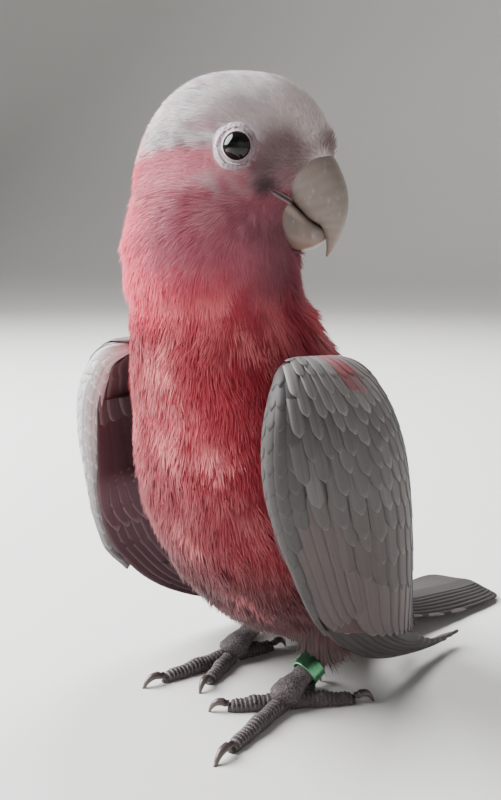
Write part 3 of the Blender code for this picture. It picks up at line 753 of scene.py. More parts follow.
def head_rings(count=56, sides=72):
    x, crown, chin, cheeks, half = columns(HEAD_ROWS, count)
    rise = power(np.sin(turns(sides)), HEAD_SQUARENESS)
    height = cheeks + rise * np.where(rise > 0, crown - cheeks, cheeks - chin)
    width = power(np.cos(turns(sides)), HEAD_SQUARENESS) * half
    return head_world(np.stack([x + 0 * height, width, height], -1))


def merged_nodes(nodes):
    shape = bmesh.new()
    for node in nodes:
        shape.from_mesh(frame["nodes"][node].data)
    return shape


def distance_to(nodes, points):
    """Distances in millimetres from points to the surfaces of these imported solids."""
    shape = merged_nodes(nodes)
    tree = BVHTree.FromBMesh(shape)
    shape.free()
    return np.array([tree.find_nearest(point)[3] for point in points]) / MM


def smooth(item, name, iterations, group=""):
    relax = item.modifiers.new(name, "SMOOTH")
    relax.factor, relax.iterations, relax.vertex_group = 0.5, iterations, group


def fused(name, voxel, swell, nodes, rings=(), smoothing=6):
    """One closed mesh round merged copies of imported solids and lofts, swollen so that their gaps close."""
    shape = merged_nodes(nodes)
    for ring in rings:
        extra = grid_mesh(name + "_loft", [ring])
        shape.from_mesh(extra)
        bpy.data.meshes.remove(extra)
    bmesh.ops.remove_doubles(shape, verts=shape.verts, dist=0.02 * MM)
    shape.normal_update()
    for vertex, place in [(vertex, vertex.co + vertex.normal * swell) for vertex in shape.verts]:
        vertex.co = place
    mesh = bpy.data.meshes.new(name)
    shape.to_mesh(mesh)
    shape.free()
    item = new_object(name, mesh)
    remesh = item.modifiers.new("Remesh", "REMESH")
    remesh.mode, remesh.voxel_size = "VOXEL", voxel
    smooth(item, "Smooth", smoothing)
    plain(item).shade_smooth()
    return item


def unwrap(item):
    """An unwrap of the piece's own shape, under the name that the coats share."""
    item.data.uv_layers.new(name="OFBake")
    bpy.context.view_layer.objects.active = item
    item.select_set(True)
    bpy.ops.object.mode_set(mode="EDIT")
    bpy.ops.mesh.select_all(action="SELECT")
    bpy.ops.uv.smart_project(angle_limit=math.radians(80), island_margin=0.002)
    bpy.ops.object.mode_set(mode="OBJECT")
    item.select_set(False)


def wing_facts(points, normals, body):
    """Per point, 0 to 1: on a wing, its inner face, its front band (pale, partly painted light) and its very
    edge.
    """
    share, inner, front, rim = np.zeros((4, len(points)))
    for side, sign in SIDES.items():
        nodes = [f"wing_{side}_{part}" for part in ("coverts", "secondaries", "primaries")]
        here = ramp(distance_to(nodes, points) - body, 0.7, -0.7)
        edge = np.concatenate([world(face(side, np.linspace(0.2, 6.5, 60), across)) for face, across in
                               ((wing_point, 0.0), (wing_surface, 0.01), (wing_surface, 0.08))])
        reach = np.linalg.norm(points[:, None] - edge[None], axis=2).min(1) / MM
        # The right wing's wide, full front band is painted light; the left wing keeps only a faint pale
        # edge.
        wide, pale = (10.0, 1.0) if side == "right" else (4.0, 0.12)
        share = np.maximum(share, here)
        inner = np.maximum(inner, here * ramp(normals[:, 0] * sign, -0.05, -0.5))
        front = np.maximum(front, here * pale * ramp(reach, wide, wide * 0.6))
        rim = np.maximum(rim, here * ramp(reach, 7.0, 2.5))
    return share, inner, front, rim


def make_skin():
    s = sizes()
    item = fused("skin", s.voxel, SWELL, FLESH[1:], [head_rings()])
    points, normals = shape_of(item.data)
    body = distance_to(("trunk", "neck", "head", "thigh_left", "thigh_right"), points)
    share, inner, front, rim = wing_facts(points, normals, body)
    bird, _, head = own_frames(points)
    on_head = ramp(bird[:, 2], 132, 142)
    face = on_head * np.maximum(ramp(head[:, 0], 2, 20), round_patch(head, EYE_AT, (14, 12, 14)))
    # The skin lies as deep as its coat is thick.
    depth = s.body_depth + (s.face_depth * 1.5 - s.body_depth) * on_head
    depth = depth + (s.face_depth * 0.7 - depth) * face
    depth = depth + (s.wing_depth - depth) * share
    depth = depth * (1 - 0.6 * ramp(bird[:, 2], 22, 12) * ramp(bird[:, 1], 40, 20))
    move_points(item.data, points - normals * (depth + SWELL)[:, None])
    smooth(item, "Smooth", 4)
    # The crease where head and neck meet is drawn out smooth.
    crease = item.vertex_groups.new(name="crease")
    for index, weight in enumerate(round_patch(head, (-10, 12, -18), (24, 16, 9), 0.5)):
        if weight > 0.01:
            crease.add([index], weight, "REPLACE")
    smooth(item, "Crease", 70, "crease")
    mesh = plain(item)
    item.vertex_groups.clear()
    unwrap(item)
    points, normals = shape_of(mesh)
    marking = markings_and_painted_light(points + normals * depth[:, None], share, inner, front)
    attach(mesh, marking=np.insert(marking, 3, 1.0, axis=1), lie=lie_at(points, normals), facing=normals)
    tree = BVHTree.FromPolygons(points.tolist(), [tuple(polygon.vertices) for polygon in mesh.polygons])
    SKIN.update(item=item, tree=tree, points=points, bird=bird, head=head, depth=depth, share=share,
                inner=inner, rim=rim, face=face)
    mesh.materials.clear()
    mesh.materials.append(under_skin())
    stands_for(item, "plumage_rose", *FLESH)


def under_skin():
    """Skin and down seen between the feathers: matt, darkened below the coat's colour as painted shade."""
    made, tree, base = material("shaded_down_over_skin", marking="Color")
    # Painted shade: the coat's colour multiplied towards dark brown, for the shade between the feathers.
    shade = add(tree, "Mix", {0: 0.45, 6: base, 7: "#3c2526"}, 2, data_type="RGBA",
                blend_type="MULTIPLY")
    down = grain(tree, 0.9)
    return finished(made, shade, [(down, base)], (down, 0.15, 0.8), Roughness=0.9)


# ---- tufts ----


def strand(start, end, width, rise, drop, lean=0.0, bent=True):
    """A thin three-sided barb from start to end in a tuft's unit frame: its points, faces and values."""
    start, end = np.array(start, float), np.array(end, float)
    way = end - start
    over = np.array((-way[1], way[0])) / max(np.hypot(*way), 1e-6)
    points, values = [], []
    for share, half in ((0.0, 0.8), (0.55, 1.0)) if bent else ((0.0, 1.0),):
        middle = start + way * share
        height = rise[0] + (rise[1] - rise[0]) * share
        for offset, up in ((-1, 0), (1, 0), (0, 1)):
            place = middle + over * offset * half * width
            points.append((*place, height + up * drop * half))
            values.append((middle[0], 0.5 + place[1] * 0.5, lean))
    points.append((*end, rise[2]))
    values.append((end[0], 0.5 + end[1] * 0.5, lean))
    last = len(points) - 1
    faces = [(0, 2, 1)]
    if bent:
        faces += [(0, 1, 4, 3), (1, 2, 5, 4), (2, 0, 3, 5)]
    base = last - 3
    faces += [(base, base + 1, last), (base + 1, base + 2, last), (base + 2, base, last)]
    return points, faces, values


def leaf(rows, section, width, rise, thick):
    """A thin closed vane in a tuft's unit frame: width(x), rise(x), and a section of (across, up) points."""
    points, values, faces = [], [], []
    for x in rows:
        for across, up in section:
            points.append((x, across * width(x), rise(x) - 0.12 * across**2 + up * thick))
            values.append((x, 0.5 + across * width(x) * 0.5, 0.5))
    n = len(section)
    for row in range(len(rows) - 1):
        for k in range(n):
            a, b = row * n + k, row * n + (k + 1) % n
            faces.append((a, b, b + n, a + n))
    faces += [tuple(range(n))[::-1], tuple(range((len(rows) - 1) * n, len(rows) * n))]
    return points, faces, values


def tuft(name, parts):
    """Joined barbs or vanes as an object; each point's spot is x along, across from 0 to 1, and a shade."""
    points, faces, values = [], [], []
    for part_points, part_faces, part_values in parts:
        base = len(points)
        points += part_points
        values += part_values
        faces += [tuple(base + index for index in face) for face in part_faces]
    mesh = outward_mesh(name, points, faces)
    attach(mesh, spot=np.array(values))
    return new_object(name, mesh)


def silk_tufts(count, spread, bent, width, thick):
    """Silky hackles: a narrow sheaf of single barbs."""
    made = []
    for seed in range(3):
        rng = np.random.default_rng(80 + seed)
        parts = []
        for angle in np.linspace(-1, 1, count):
            start = (rng.uniform(0, 0.12), angle * 0.22)
            end = (rng.uniform(0.72, 1.08), angle * spread + rng.uniform(-0.1, 0.1))
            rise = (0.0, 0.85 + rng.uniform(-0.05, 0.05), 0.90 + rng.uniform(-0.08, 0.06))
            parts.append(strand(start, end, width, rise, thick, rng.uniform(), bent))
        made.append(tuft(f"silk_{count}_{seed}", parts))
    return made


def scale_tufts():
    """Small wing coverts: a broad rounded vane, closed and crisp at its rim."""
    section = ((-1, 0), (-0.4, 0.3), (0.4, 0.3), (1, 0), (0, -0.3))
    rows = (0, 0.35, 0.65, 0.85, 0.95, 1.0)
    made = []
    for seed, blunt in enumerate((2.2, 2.8, 3.4)):
        vane_shape = leaf(rows, section,
                          lambda x: 0.5 * (0.25 + 0.75 * min(x / 0.35, 1)) * max(1 - x**blunt, 0.03) ** 0.5,
                          lambda x: 0.12 + 0.95 * x, 0.10)
        made.append(tuft(f"covert_{seed}", [vane_shape]))
    return made


TUFTS = ("Tuft A", "Tuft B", "Tuft C")
# More tufts per square metre than the spacing ever lets through.
DENSEST = 5.0e6


def coat_tree():
    """Geometry nodes: tufts scattered on a stretch of skin, laid along its lie, realised and painted."""
    tree = bpy.data.node_groups.new("coat", "GeometryNodeTree")
    tree.is_modifier = True
    for kind, labels in (("Geometry", ("Geometry",)), ("Float", ("Spacing", "Turn", "Uneven", "Patch")),
                         ("Int", ("Seed",)), ("Object", TUFTS), ("Material", ("Material",))):
        for label in labels:
            tree.interface.new_socket(label, in_out="INPUT", socket_type="NodeSocket" + kind)
    tree.interface.new_socket("Geometry", in_out="OUTPUT", socket_type="NodeSocketGeometry")
    given = add(tree, "NodeGroupInput").node.outputs
    kept = {}
    for kind, names in (("FLOAT", ("dense", "long", "wide", "high")),
                        ("FLOAT_VECTOR", ("lie", "facing", "OFBake", "root", "spot"))):
        for name in names:
            kept[name] = add(tree, "GeometryNodeInputNamedAttribute", {"Name": name}, "Attribute",
                             data_type=kind)
    points = add(tree, "GeometryNodeDistributePointsOnFaces",
                 {"Mesh": given["Geometry"], "Distance Min": given["Spacing"], "Density Max": DENSEST,
                  "Density Factor": kept["dense"], "Seed": given["Seed"]}, "Points",
                 distribute_method="POISSON")
    rooted = add(tree, "GeometryNodeStoreNamedAttribute",
                 {"Geometry": points, "Name": "root", "Value": kept["OFBake"]},
                 data_type="FLOAT_VECTOR", domain="POINT")
    bare = add(tree, "GeometryNodeRemoveAttribute", {"Geometry": rooted, "Name": "OFBake"})
    # One chance each for yaw, pitch, length, width, height and tint.
    back, tip = (add(tree, "Math", {0: given[name], 1: share}, operation="MULTIPLY")
                 for name, share in (("Turn", -1.0), ("Uneven", -0.25)))
    lift = add(tree, "Math", {0: tip, 1: -0.6}, operation="MULTIPLY")
    lowest, highest = (add(tree, "Math", {0: 1.0, 1: given["Uneven"]}, operation=operation)
                       for operation in ("SUBTRACT", "ADD"))
    chances = []
    for low, high in ((back, given["Turn"]), (tip, lift), (0.8, 1.2), (0.8, 1.2), (lowest, highest),
                      (0.0, 1.0)):
        seed = add(tree, "Math", {0: given["Seed"], 1: len(chances) + 1.0}, operation="ADD")
        chances.append(add(tree, "FunctionNodeRandomValue", {2: low, 3: high, "Seed": seed}, 1))
    turned = add(tree, "FunctionNodeAxesToRotation",
                 {"Primary Axis": kept["lie"], "Secondary Axis": kept["facing"]},
                 primary_axis="X", secondary_axis="Z")
    for axis, angle in zip(((0, 0, 1), (0, 1, 0)), chances):
        extra = add(tree, "FunctionNodeAxisAngleToRotation", {"Axis": axis, "Angle": angle})
        turned = add(tree, "FunctionNodeRotateRotation", {"Rotation": turned, "Rotate By": extra},
                     rotation_space="LOCAL")
    grown = [add(tree, "Math", {0: kept[name], 1: factor}, operation="MULTIPLY")
             for name, factor in zip(("long", "wide", "high"), chances[2:])]
    scale = add(tree, "CombineXYZ", dict(enumerate(grown)))
    kinds = add(tree, "GeometryNodeJoinGeometry")
    for label in reversed(TUFTS):
        shown = add(tree, "GeometryNodeObjectInfo", {"Object": given[label], "As Instance": True},
                    "Geometry")
        tree.links.new(shown, kinds.node.inputs[0])
    pick = add(tree, "FunctionNodeRandomValue", {4: 0, 5: 2, "Seed": given["Seed"]}, 2, data_type="INT")
    placed = add(tree, "GeometryNodeInstanceOnPoints",
                 {"Points": bare, "Instance": kinds, "Pick Instance": True, "Instance Index": pick,
                  "Rotation": turned, "Scale": scale})
    tinted = add(tree, "GeometryNodeStoreNamedAttribute",
                 {"Geometry": placed, "Name": "tint", "Value": chances[5]},
                 data_type="FLOAT", domain="INSTANCE")
    real = add(tree, "GeometryNodeRealizeInstances", {"Geometry": tinted})
    # Each tuft's patch of the unwrap is spread round its root's place.
    spot = add(tree, "VectorMath", {0: kept["spot"], "Scale": given["Patch"]}, operation="SCALE")
    place = add(tree, "VectorMath", {0: kept["root"], 1: spot}, operation="ADD")
    mapped = add(tree, "GeometryNodeStoreNamedAttribute",
                 {"Geometry": real, "Name": "OFBake", "Value": place}, data_type="FLOAT2", domain="CORNER")
    painted = add(tree, "GeometryNodeSetMaterial", {"Geometry": mapped, "Material": given["Material"]})
    add(tree, "NodeGroupOutput", {0: painted})
    return tree


def patch_of_skin(name, keep, **values):
    """A copy of the stretch of skin where keep is above zero, with values per point for its tufts."""
    mesh = SKIN["item"].data.copy()
    attach(mesh, dense=np.clip(keep, 0, 1), **values)
    shape = bmesh.new()
    shape.from_mesh(mesh)
    gone = [vertex for vertex, value in zip(shape.verts, keep) if value <= 0]
    bmesh.ops.delete(shape, geom=gone, context="VERTS")
    shape.to_mesh(mesh)
    shape.free()
    return new_object(name, mesh)


def grow_coat(name, keep, spacing, tufts, finish, slot_name, long, wide, high, turn, uneven, seed):
    """Grows a coat piece with geometry nodes and leaves it a plain mesh."""
    item = patch_of_skin(name, keep, long=long * MM, wide=wide * MM, high=high)
    tree = bpy.data.node_groups.get("coat") or coat_tree()
    grow = item.modifiers.new("Coat", "NODES")
    grow.node_group = tree
    given = dict(zip(TUFTS, tufts), Spacing=spacing, Turn=turn, Uneven=uneven, Patch=sizes().patch,
                 Seed=seed, Material=finish)
    for socket in tree.interface.items_tree:
        if socket.in_out == "INPUT" and socket.name in given:
            grow[socket.identifier] = given[socket.name]
    mesh = plain(item)
    for spare in ("lie", "facing", "dense", "long", "wide", "high", "root", "id"):
        if mesh.attributes.get(spare):
            mesh.attributes.remove(mesh.attributes[spare])
    mesh.uv_layers.active = mesh.uv_layers["OFBake"]
    stands_for(item, slot_name)


def feather_finish(name, depth, tip, soft):
    """Feather barbs: dull keratin that scatters light along the strands, so matt with a faint sheen.

    depth darkens the roots as painted shade, tip lightens the ends, soft sets how much one tuft differs from
    the next.
    """
    made, tree, marking, tint, spot = material(name, marking="Color", tint="Fac", spot="Vector")
    spot = add(tree, "SeparateXYZ", {0: spot}).node.outputs
    light = 1.0
    # The first level is painted shade on the roots, where they lie under other tufts.
    for value, start, end, low, high in (
            (spot[0], 0.15, 0.75, depth, 1.0), (tint, 0.0, 1.0, 1 - soft, 1 + soft),
            (spot[2], 0.0, 1.0, 0.92, 1.07)):
        level = add(tree, "MapRange", {"Value": value, "From Min": start, "From Max": end,
                                       "To Min": low, "To Max": high})
        light = add(tree, "Math", {0: light, 1: level}, operation="MULTIPLY")
    grey = add(tree, "CombineColor", {0: light, 1: light, 2: light})
    shaded = add(tree, "Mix", {0: 1.0, 6: marking, 7: grey}, 2, data_type="RGBA", blend_type="MULTIPLY")
    ends = add(tree, "MapRange", {"Value": spot[0], "From Min": 0.7, "From Max": 1.05, "To Max": tip})
    paler = add(tree, "Mix", {0: 0.55, 6: marking, 7: "#f3dedb"}, 2, data_type="RGBA")
    return finished(made, shaded, [(ends, paler)], Roughness=0.72, Specular_IOR_Level=0.25,
                    Sheen_Weight=0.25, Sheen_Roughness=0.5)


def make_coats():
    k, s = SKIN, sizes()
    bird, head, share, depth = k["bird"], k["head"], k["share"], k["depth"]
    x, y, z = bird.T
    silk, fine = silk_tufts(6, 0.44, True, 0.075, 0.05), silk_tufts(5, 0.42, False, 0.10, 0.06)
    long_silk = silk_tufts(7, 0.44, True, 0.074, 0.04)
    scales = scale_tufts()
    silky = feather_finish("silky_head_barbs", 0.88, 0.12, 0.06)
    loose = feather_finish("loose_body_barbs", 0.90, 0.14, 0.05)
    crisp = feather_finish("close_wing_vanes", 0.88, 0.18, 0.09)
    # Head: smallest on the face, longest on the nape, bare round the eye and short of the bill.
    on_head = z > 138 + 0.35 * np.clip(-head[:, 0], -20, 30)
    off_wing = (1 - share) * (share < 0.5)
    bare_eye = round_patch(head, (EYE_AT[0] - 0.4, EYE_AT[1] + 2, EYE_AT[2]), (6.5, 9, 6.4), 0.08)
    mouth = ramp(distance_to(("bill_upper", "bill_lower"), k["points"]), 0.3, 0.7)
    size = 6.2 - 3.4 * k["face"] + 1.8 * ramp(head[:, 0], -12, -26) + 1.5 * ramp(head[:, 2], -12, -25)
    close = on_head * off_wing * (bare_eye <= 0.5) * mouth
    chin = (1 + 2.2 * round_patch(head, (21, 0, -38), (10, 10, 11), 0.6)
            + 1.3 * round_patch(head, (33, 0, -1), (4, 7, 4), 0.5))
    nape = 1 + 0.8 * round_patch(head, (-23, 4, -9), (9, 18, 6), 0.9)
    for part, here, spacing, tufts, high, uneven, seed in (
            ("face", head[:, 0] > 0, 1.0, fine, chin, 0.12, 11),
            ("back", head[:, 0] <= 0, 1.2, silk, nape, 0.08, 12)):
        grow_coat(f"coat_head_{part}", close * here, s.head_spacing * spacing, tufts, silky, "plumage_crown",
                  size, 0.34 * size + 0.3, depth * high, 0.14, uneven, seed)
    # Neck: a collar of long hackles whose ends lie over the breast.
    grow_coat("coat_neck", ~on_head * off_wing * (z > 128), s.neck_spacing, silk, silky, "plumage_rose",
              9.0 + 0 * z, 3.0 + 0 * z, depth, 0.16, 0.08, 13)
    # Body, in three pieces.
    trunk = (z <= 128) * off_wing
    back = y > 2 + 0.30 * (118 - z)
    wings = [f"wing_{side}_{part}" for side in SIDES for part in ("coverts", "secondaries", "primaries")]
    beside = ramp(distance_to(wings, k["points"]), 2.2, 4.5)
    tall = 11.5 + 2.5 * ramp(z, 110, 50) - 5.0 * ramp(z, 24, 12)
    high = depth * (0.5 + 0.5 * beside)
    ruffle = 1.0 + 0.22 * ripple(bird * (1, 1, 0.7), 13, 8) + 0.05 * ripple(bird * (1, 1, 0.25), 6, 26)
    for part, here, spacing, seed in (("breast", z > 72, 1.0, 14), ("belly", z <= 72, 1.08, 15)):
        grow_coat(f"coat_{part}", trunk * ~back * here, s.body_spacing * spacing, long_silk, loose,
                  "plumage_rose", 0.95 * tall, 0.36 * tall, high * ruffle, 0.22, 0.07, seed)
    grow_coat("coat_back", trunk * back, s.body_spacing * 1.9, scales, crisp, "plumage_grey",
              0.95 * tall * (0.65 + 0.35 * beside), 0.62 * tall * (0.6 + 0.4 * beside), 0.5 * high,
              0.10, 0.03, 16)
    # Wings: small coverts at the shoulder, smallest right on the edge.
    down, rim = ramp(z, 116, 80), k["rim"]
    for seed, (side, sign) in enumerate(SIDES.items(), 17):
        here = (share >= 0.5) * (x * sign > 0) * (z > 99) * (k["inner"] < 0.6)
        grow_coat(f"coat_wing_{side}", here.astype(float), s.wing_spacing, scales, crisp, "plumage_grey",
                  (5.2 + 3.0 * down) * (1 - 0.45 * rim), (4.4 + 2.0 * down) * (1 - 0.5 * rim),
                  0.6 * depth * (1 - 0.4 * rim), 0.10, 0.03, seed)
    for item in silk + fine + long_silk + scales:
        bpy.data.objects.remove(item)


# ---- flight feathers ----

# Rows of coverts on the outer face from the lowest up: where they start and end, how many, and half width.
COVERT_ROWS = (
    (3.15, 5.35, 11, 5.3), (2.80, 4.75, 12, 4.6), (2.40, 4.20, 13, 4.1), (2.00, 3.70, 14, 3.7),
    (1.65, 3.25, 15, 3.3), (1.35, 2.85, 15, 3.1), (1.05, 2.45, 16, 2.8), (0.80, 2.10, 16, 2.6),
    (0.55, 1.75, 16, 2.4), (0.30, 1.40, 15, 2.2), (0.10, 1.05, 14, 2.1),
)
# Rows under the wing, from the lowest up, in the same terms.
LINING_ROWS = ((4.1, 6.55, 10, 5.6), (2.9, 5.4, 10, 5.4), (1.8, 4.1, 10, 5.0), (0.9, 3.0, 9, 4.6),
               (0.2, 1.9, 8, 4.2))
# Lanes of small feathers down the leading edge: the face they lie on, where across it, how high they
# stand, and the place of the lowest root.
EDGE_LANES = (
    (wing_rim, 0.10, 0.35, 5.6), (wing_rim, 0.30, 0.35, 5.6), (wing_rim, 0.50, 0.35, 5.6),
    (wing_rim, 0.70, 0.35, 5.6), (wing_rim, 0.90, 0.35, 3.4), (wing_surface, 0.07, 0.30, 3.1),
)


BARB_SPACING = 0.55


def vane_finish(name, edge, streak):
    """Flight feather vane: smooth closed barbs with a soft gloss along the shaft and worn pale edges."""
    made, tree, marking, across, travel, rim, tint = material(
        name, marking="Color", across="Fac", travel="Fac", rim="Fac", tint="Fac")
    # Barbs run out and down from the shaft; real ones are finer, these are drawn to show.
    off_shaft = add(tree, "Math", {0: across}, operation="ABSOLUTE")
    slope = add(tree, "Math", {0: off_shaft, 1: -1.1, 2: travel}, operation="MULTIPLY_ADD")
    phase = add(tree, "Math", {0: slope, 1: 2 * math.pi / BARB_SPACING}, operation="MULTIPLY")
    barbs = add(tree, "Math", {0: phase}, operation="SINE")
    # Long streaks from root to tip, other ones on each feather.
    drawn = add(tree, "CombineXYZ", {0: across, 1: travel, 2: tint})
    drawn = add(tree, "VectorMath", {0: drawn, 1: (2.2, 0.06, 1.0)}, operation="MULTIPLY")
    lines = add(tree, "TexNoise", {"Vector": drawn, "Scale": 1.0, "Detail": 3.0}, "Fac")
    level = add(tree, "MapRange", {"Value": lines, "From Min": 0.3, "From Max": 0.7,
                                   "To Min": 1 - streak, "To Max": 1 + streak})
    for value, amount, middle in ((tint, 0.14, 0.93), (barbs, 0.03, 1.0)):
        shade = add(tree, "Math", {0: value, 1: amount, 2: middle}, operation="MULTIPLY_ADD")
        level = add(tree, "Math", {0: level, 1: shade}, operation="MULTIPLY")
    base = add(tree, "CombineColor", {0: level, 1: level, 2: level})
    base = add(tree, "Mix", {0: 1.0, 6: marking, 7: base}, 2, data_type="RGBA", blend_type="MULTIPLY")
    layers = [(add(tree, "MapRange", {"Value": value, "From Min": start, "From Max": end,
                                      "To Min": low, "To Max": high}), tone)
              for value, start, end, low, high, tone in ((off_shaft, 0.12, 0.3, 0.3, 0.0, "#2e2828"),
                                                         (rim, 0.55, 1.0, 0.0, edge, "#cfc4c0"))]
    return finished(made, base, layers, (barbs, 0.04, 0.4), Roughness=0.58, Specular_IOR_Level=0.35)


def fan(surface, side, count, start, end, width, lift, loose=0.0, **extra):
    """A row of overlapping vanes; start, end, width and lift are functions of k from 0 to 1."""
    made = []
    rng = np.random.default_rng(count)
    for index in range(count):
        k = index / max(count - 1, 1)
        last, across = end(k)
        stray = loose * rng.uniform(-1, 1, 3)
        made.append(vane(surface, side, start(k), (last + stray[0], across + 0.08 * stray[1]),
                         width(k) * (1 + 0.3 * stray[2]), lift(k), seed=index * 7 + 3, **extra))
    return made


def wing_core(side):
    """Rings of a core under both faces of the wing, so that no light comes through between its feathers."""
    place, across = np.linspace(2.4, 6.5, 60)[:, None], np.linspace(0.015, 0.93, 24)[None]
    low, high = wing_point(side, place, across), wing_surface(side, place, across)
    middle, half = (low + high) / 2, (high - low) / 2
    half = half * np.maximum(1 - 0.9 / np.linalg.norm(half, axis=-1, keepdims=True), 0.12)
    return world(np.concatenate([middle + half, (middle - half)[:, ::-1]], 1))


def linings(side):
    """Under the wing: rows of long linings over the inner face, grey at the front and rose by the body."""
    c = colours()
    lining, pale = np.array(c.lining), np.array(c.wing_edge_pale_and_lit)
    made, shades = [], []
    for row, (first, last, count, width) in enumerate(LINING_ROWS):
        front = 0.08 + 0.4 * (row % 2) / count
        made += fan(wing_point, side, count, lambda k: (first, front + 0.81 * k),
                    lambda k: (last + 0.3 * k, front + 0.04 + 0.79 * k), lambda k: width,
                    lambda k: -0.45 - 0.16 * row - 0.1 * k, loose=0.15, rows=16, columns=5, tip=0.25,
                    tilt=-0.12, camber=-0.1, dip=-0.8)
        # Painted light and shade: the front ones paler on the right wing, and each row darker than the one
        # below it.
        edge = ramp(np.linspace(0, 1, count), 0.3, 0.0) * (0.22 if side == "right" else 0.1)
        shades += [lining * (1.25 - 0.06 * row) + (pale * 0.4 - lining) * share for share in edge]
    made += fan(cover_point, side, 7, lambda k: (1.9, 0.14 + 0.76 * k),
                lambda k: (5.7 - 0.4 * k, 0.14 + 0.74 * k), lambda k: 5.0, lambda k: -0.9 - 0.1 * k,
                tilt=-0.12, rows=24, tip=0.22, camber=-0.1, dip=-1.0)
    return made, shades + [lining * 1.05] * 7


def secondaries(side):
    """The long feathers of the arm; the rear ones lie on top."""
    made = fan(wing_surface, side, 11, lambda k: (3.4, 0.20 + 0.72 * k),
               lambda k: (6.55 + 0.42 * k, 0.28 + 0.68 * k), lambda k: 6.4,
               lambda k: -0.05 + 0.3 * k, rows=30)
    return made, [np.array(colours().secondary) * (0.78 + 0.05 * (i % 3)) for i in range(11)]


def hand_coverts(side):
    """A narrow bundle down the leading edge."""
    made = fan(wing_surface, side, 5, lambda k: (2.9, 0.05 + 0.13 * k),
               lambda k: (6.3 - 0.4 * k, 0.07 + 0.15 * k), lambda k: 3.6, lambda k: 0.05 + 0.1 * k,
               tilt=0.4, rows=28, tip=0.2)
    return made, [np.array(colours().secondary) * 0.72] * 5


def edge_coverts(side):
    """Small feathers wrapped round the very edge: pale with painted light on the right wing, painted shade
    on the left.
    """
    c = colours()
    covert, pale = np.array(c.wing), np.array(c.wing_edge_pale_and_lit)
    made, shades = [], []
    for lane, (surface, across, lift, last) in enumerate(EDGE_LANES):
        for first in np.arange(last - 0.2 * (lane % 2), 0.1, -0.4):
            made.append(vane(surface, side, (first, across), (first + 1.05, across),
                             (1.9 + 0.12 * first) * (1 - 0.5 * float(ramp(first, 4.2, 5.6))),
                             lift + 0.3 * (1 - first / 6), 0.0, rows=10, columns=5, camber=0.1, dip=0.8,
                             seed=int(first * 10) + lane))
            # light is the right wing's painted light; the left wing's edge gets the grey darkened to a
            # third, painted shade.
            light = (0.95 - 0.11 * first) * float(ramp(first, 6.2, 4.0) * (1 - 0.85 * ramp(lane, 2, 5)))
            shades.append(covert + (pale - covert) * light if side == "right" else
                          (covert + (pale - covert) * 0.02) * 0.35)
    return made, shades


def greater_coverts(side):
    """Coverts over the long feathers' roots, row upon row, smaller towards the shoulder."""
    made = []
    for row, (first, last, count, width) in enumerate(COVERT_ROWS):
        front = 0.07 + 0.44 * (row % 2) / count + 0.10 * float(ramp(row, 3.5, 0))
        made += fan(wing_surface, side, count, lambda k: (first, front + (0.94 - front) * k),
                    lambda k: (last - 0.3 * float(ramp(k, 0.2, 0)) + 0.2 * math.sin(3 * k),
                               front + 0.02 + (0.94 - front) * k),
                    lambda k: width * (0.62 + 0.38 * float(ramp(k, 0, 0.3))),
                    lambda k: 0.25 + 0.08 * row + 0.12 * k, loose=0.10, rows=14, columns=5,
                    tip=0.07 * width / (last - first) + 0.03, tilt=0.07, camber=0.08, dip=1.1)
    # Each has its own colour, from the plumage's markings where its visible end lies.
    spots = np.array([item[0][int(len(item[0]) * 0.8)].mean(0) for item in made])
    none = np.zeros(len(spots))
    # Painted light and shade: coverts low on the wing darkened and those near the shoulder brightened.
    light = 0.57 + 0.97 * ramp((spots[:, 2] - HOME[2]) / MM, 96, 114)
    return made, markings_and_painted_light(spots, none + 1, none, none) * light[:, None]


def primaries(side):
    """The wing tip's feathers: slate, stepped towards the tip, brown on their inner face."""
    c = colours()
    made = fan(primary_point, side, 8, lambda k: (0.4 + 0.4 * k, 0.12 + 0.66 * k),
               lambda k: (6.9 - 2.6 * k, 0.3 + 0.5 * k), lambda k: 4.2, lambda k: 0.5 + 0.3 * k,
               rows=36, tip=0.1, tilt=0.4)
    made += fan(primary_point, side, 8, lambda k: (0.2 + 0.4 * k, 0.10 + 0.74 * k),
                lambda k: (6.7 - 2.6 * k, 0.3 + 0.5 * k), lambda k: 5.2, lambda k: -0.35 - 0.1 * k,
                tilt=-0.15, rows=30, tip=0.3, camber=0.0)
    return made, ([np.array(c.primary) * (1.2 + 0.3 * (i % 2)) for i in range(8)]
                  + [np.array(c.lining) * 0.9] * 8)


def make_wing_feathers():
    outer_vanes = vane_finish("flight_feather_vanes", 0.10, 0.10)
    lining_vanes = vane_finish("lining_feather_vanes", 0.05, 0.08)
    for side in SIDES:
        mesh = grid_mesh("wing_core", [wing_core(side)])
        # The core's dark brownish grey is painted shade, seen only between the feathers.
        attach(mesh, marking=np.tile([*linear("#4c3c3c"), 1.0], (len(mesh.vertices), 1)))
        piece(f"wing_core_{side}", mesh, under_skin(), "plumage_grey", f"wing_{side}_secondaries",
              f"wing_{side}_primaries")
        for name, rows, finish, slot in (
                ("wing_lining", linings, lining_vanes, "plumage_grey"),
                ("secondaries", secondaries, outer_vanes, "plumage_grey"),
                ("hand_coverts", hand_coverts, outer_vanes, "plumage_grey"),
                ("edge_coverts", edge_coverts, lining_vanes, "plumage_grey"),
                ("greater_coverts", greater_coverts, outer_vanes, "plumage_grey"),
                ("primaries", primaries, outer_vanes, "plumage_slate")):
            piece(f"{name}_{side}", vanes_mesh(name, *rows(side)), finish, slot)


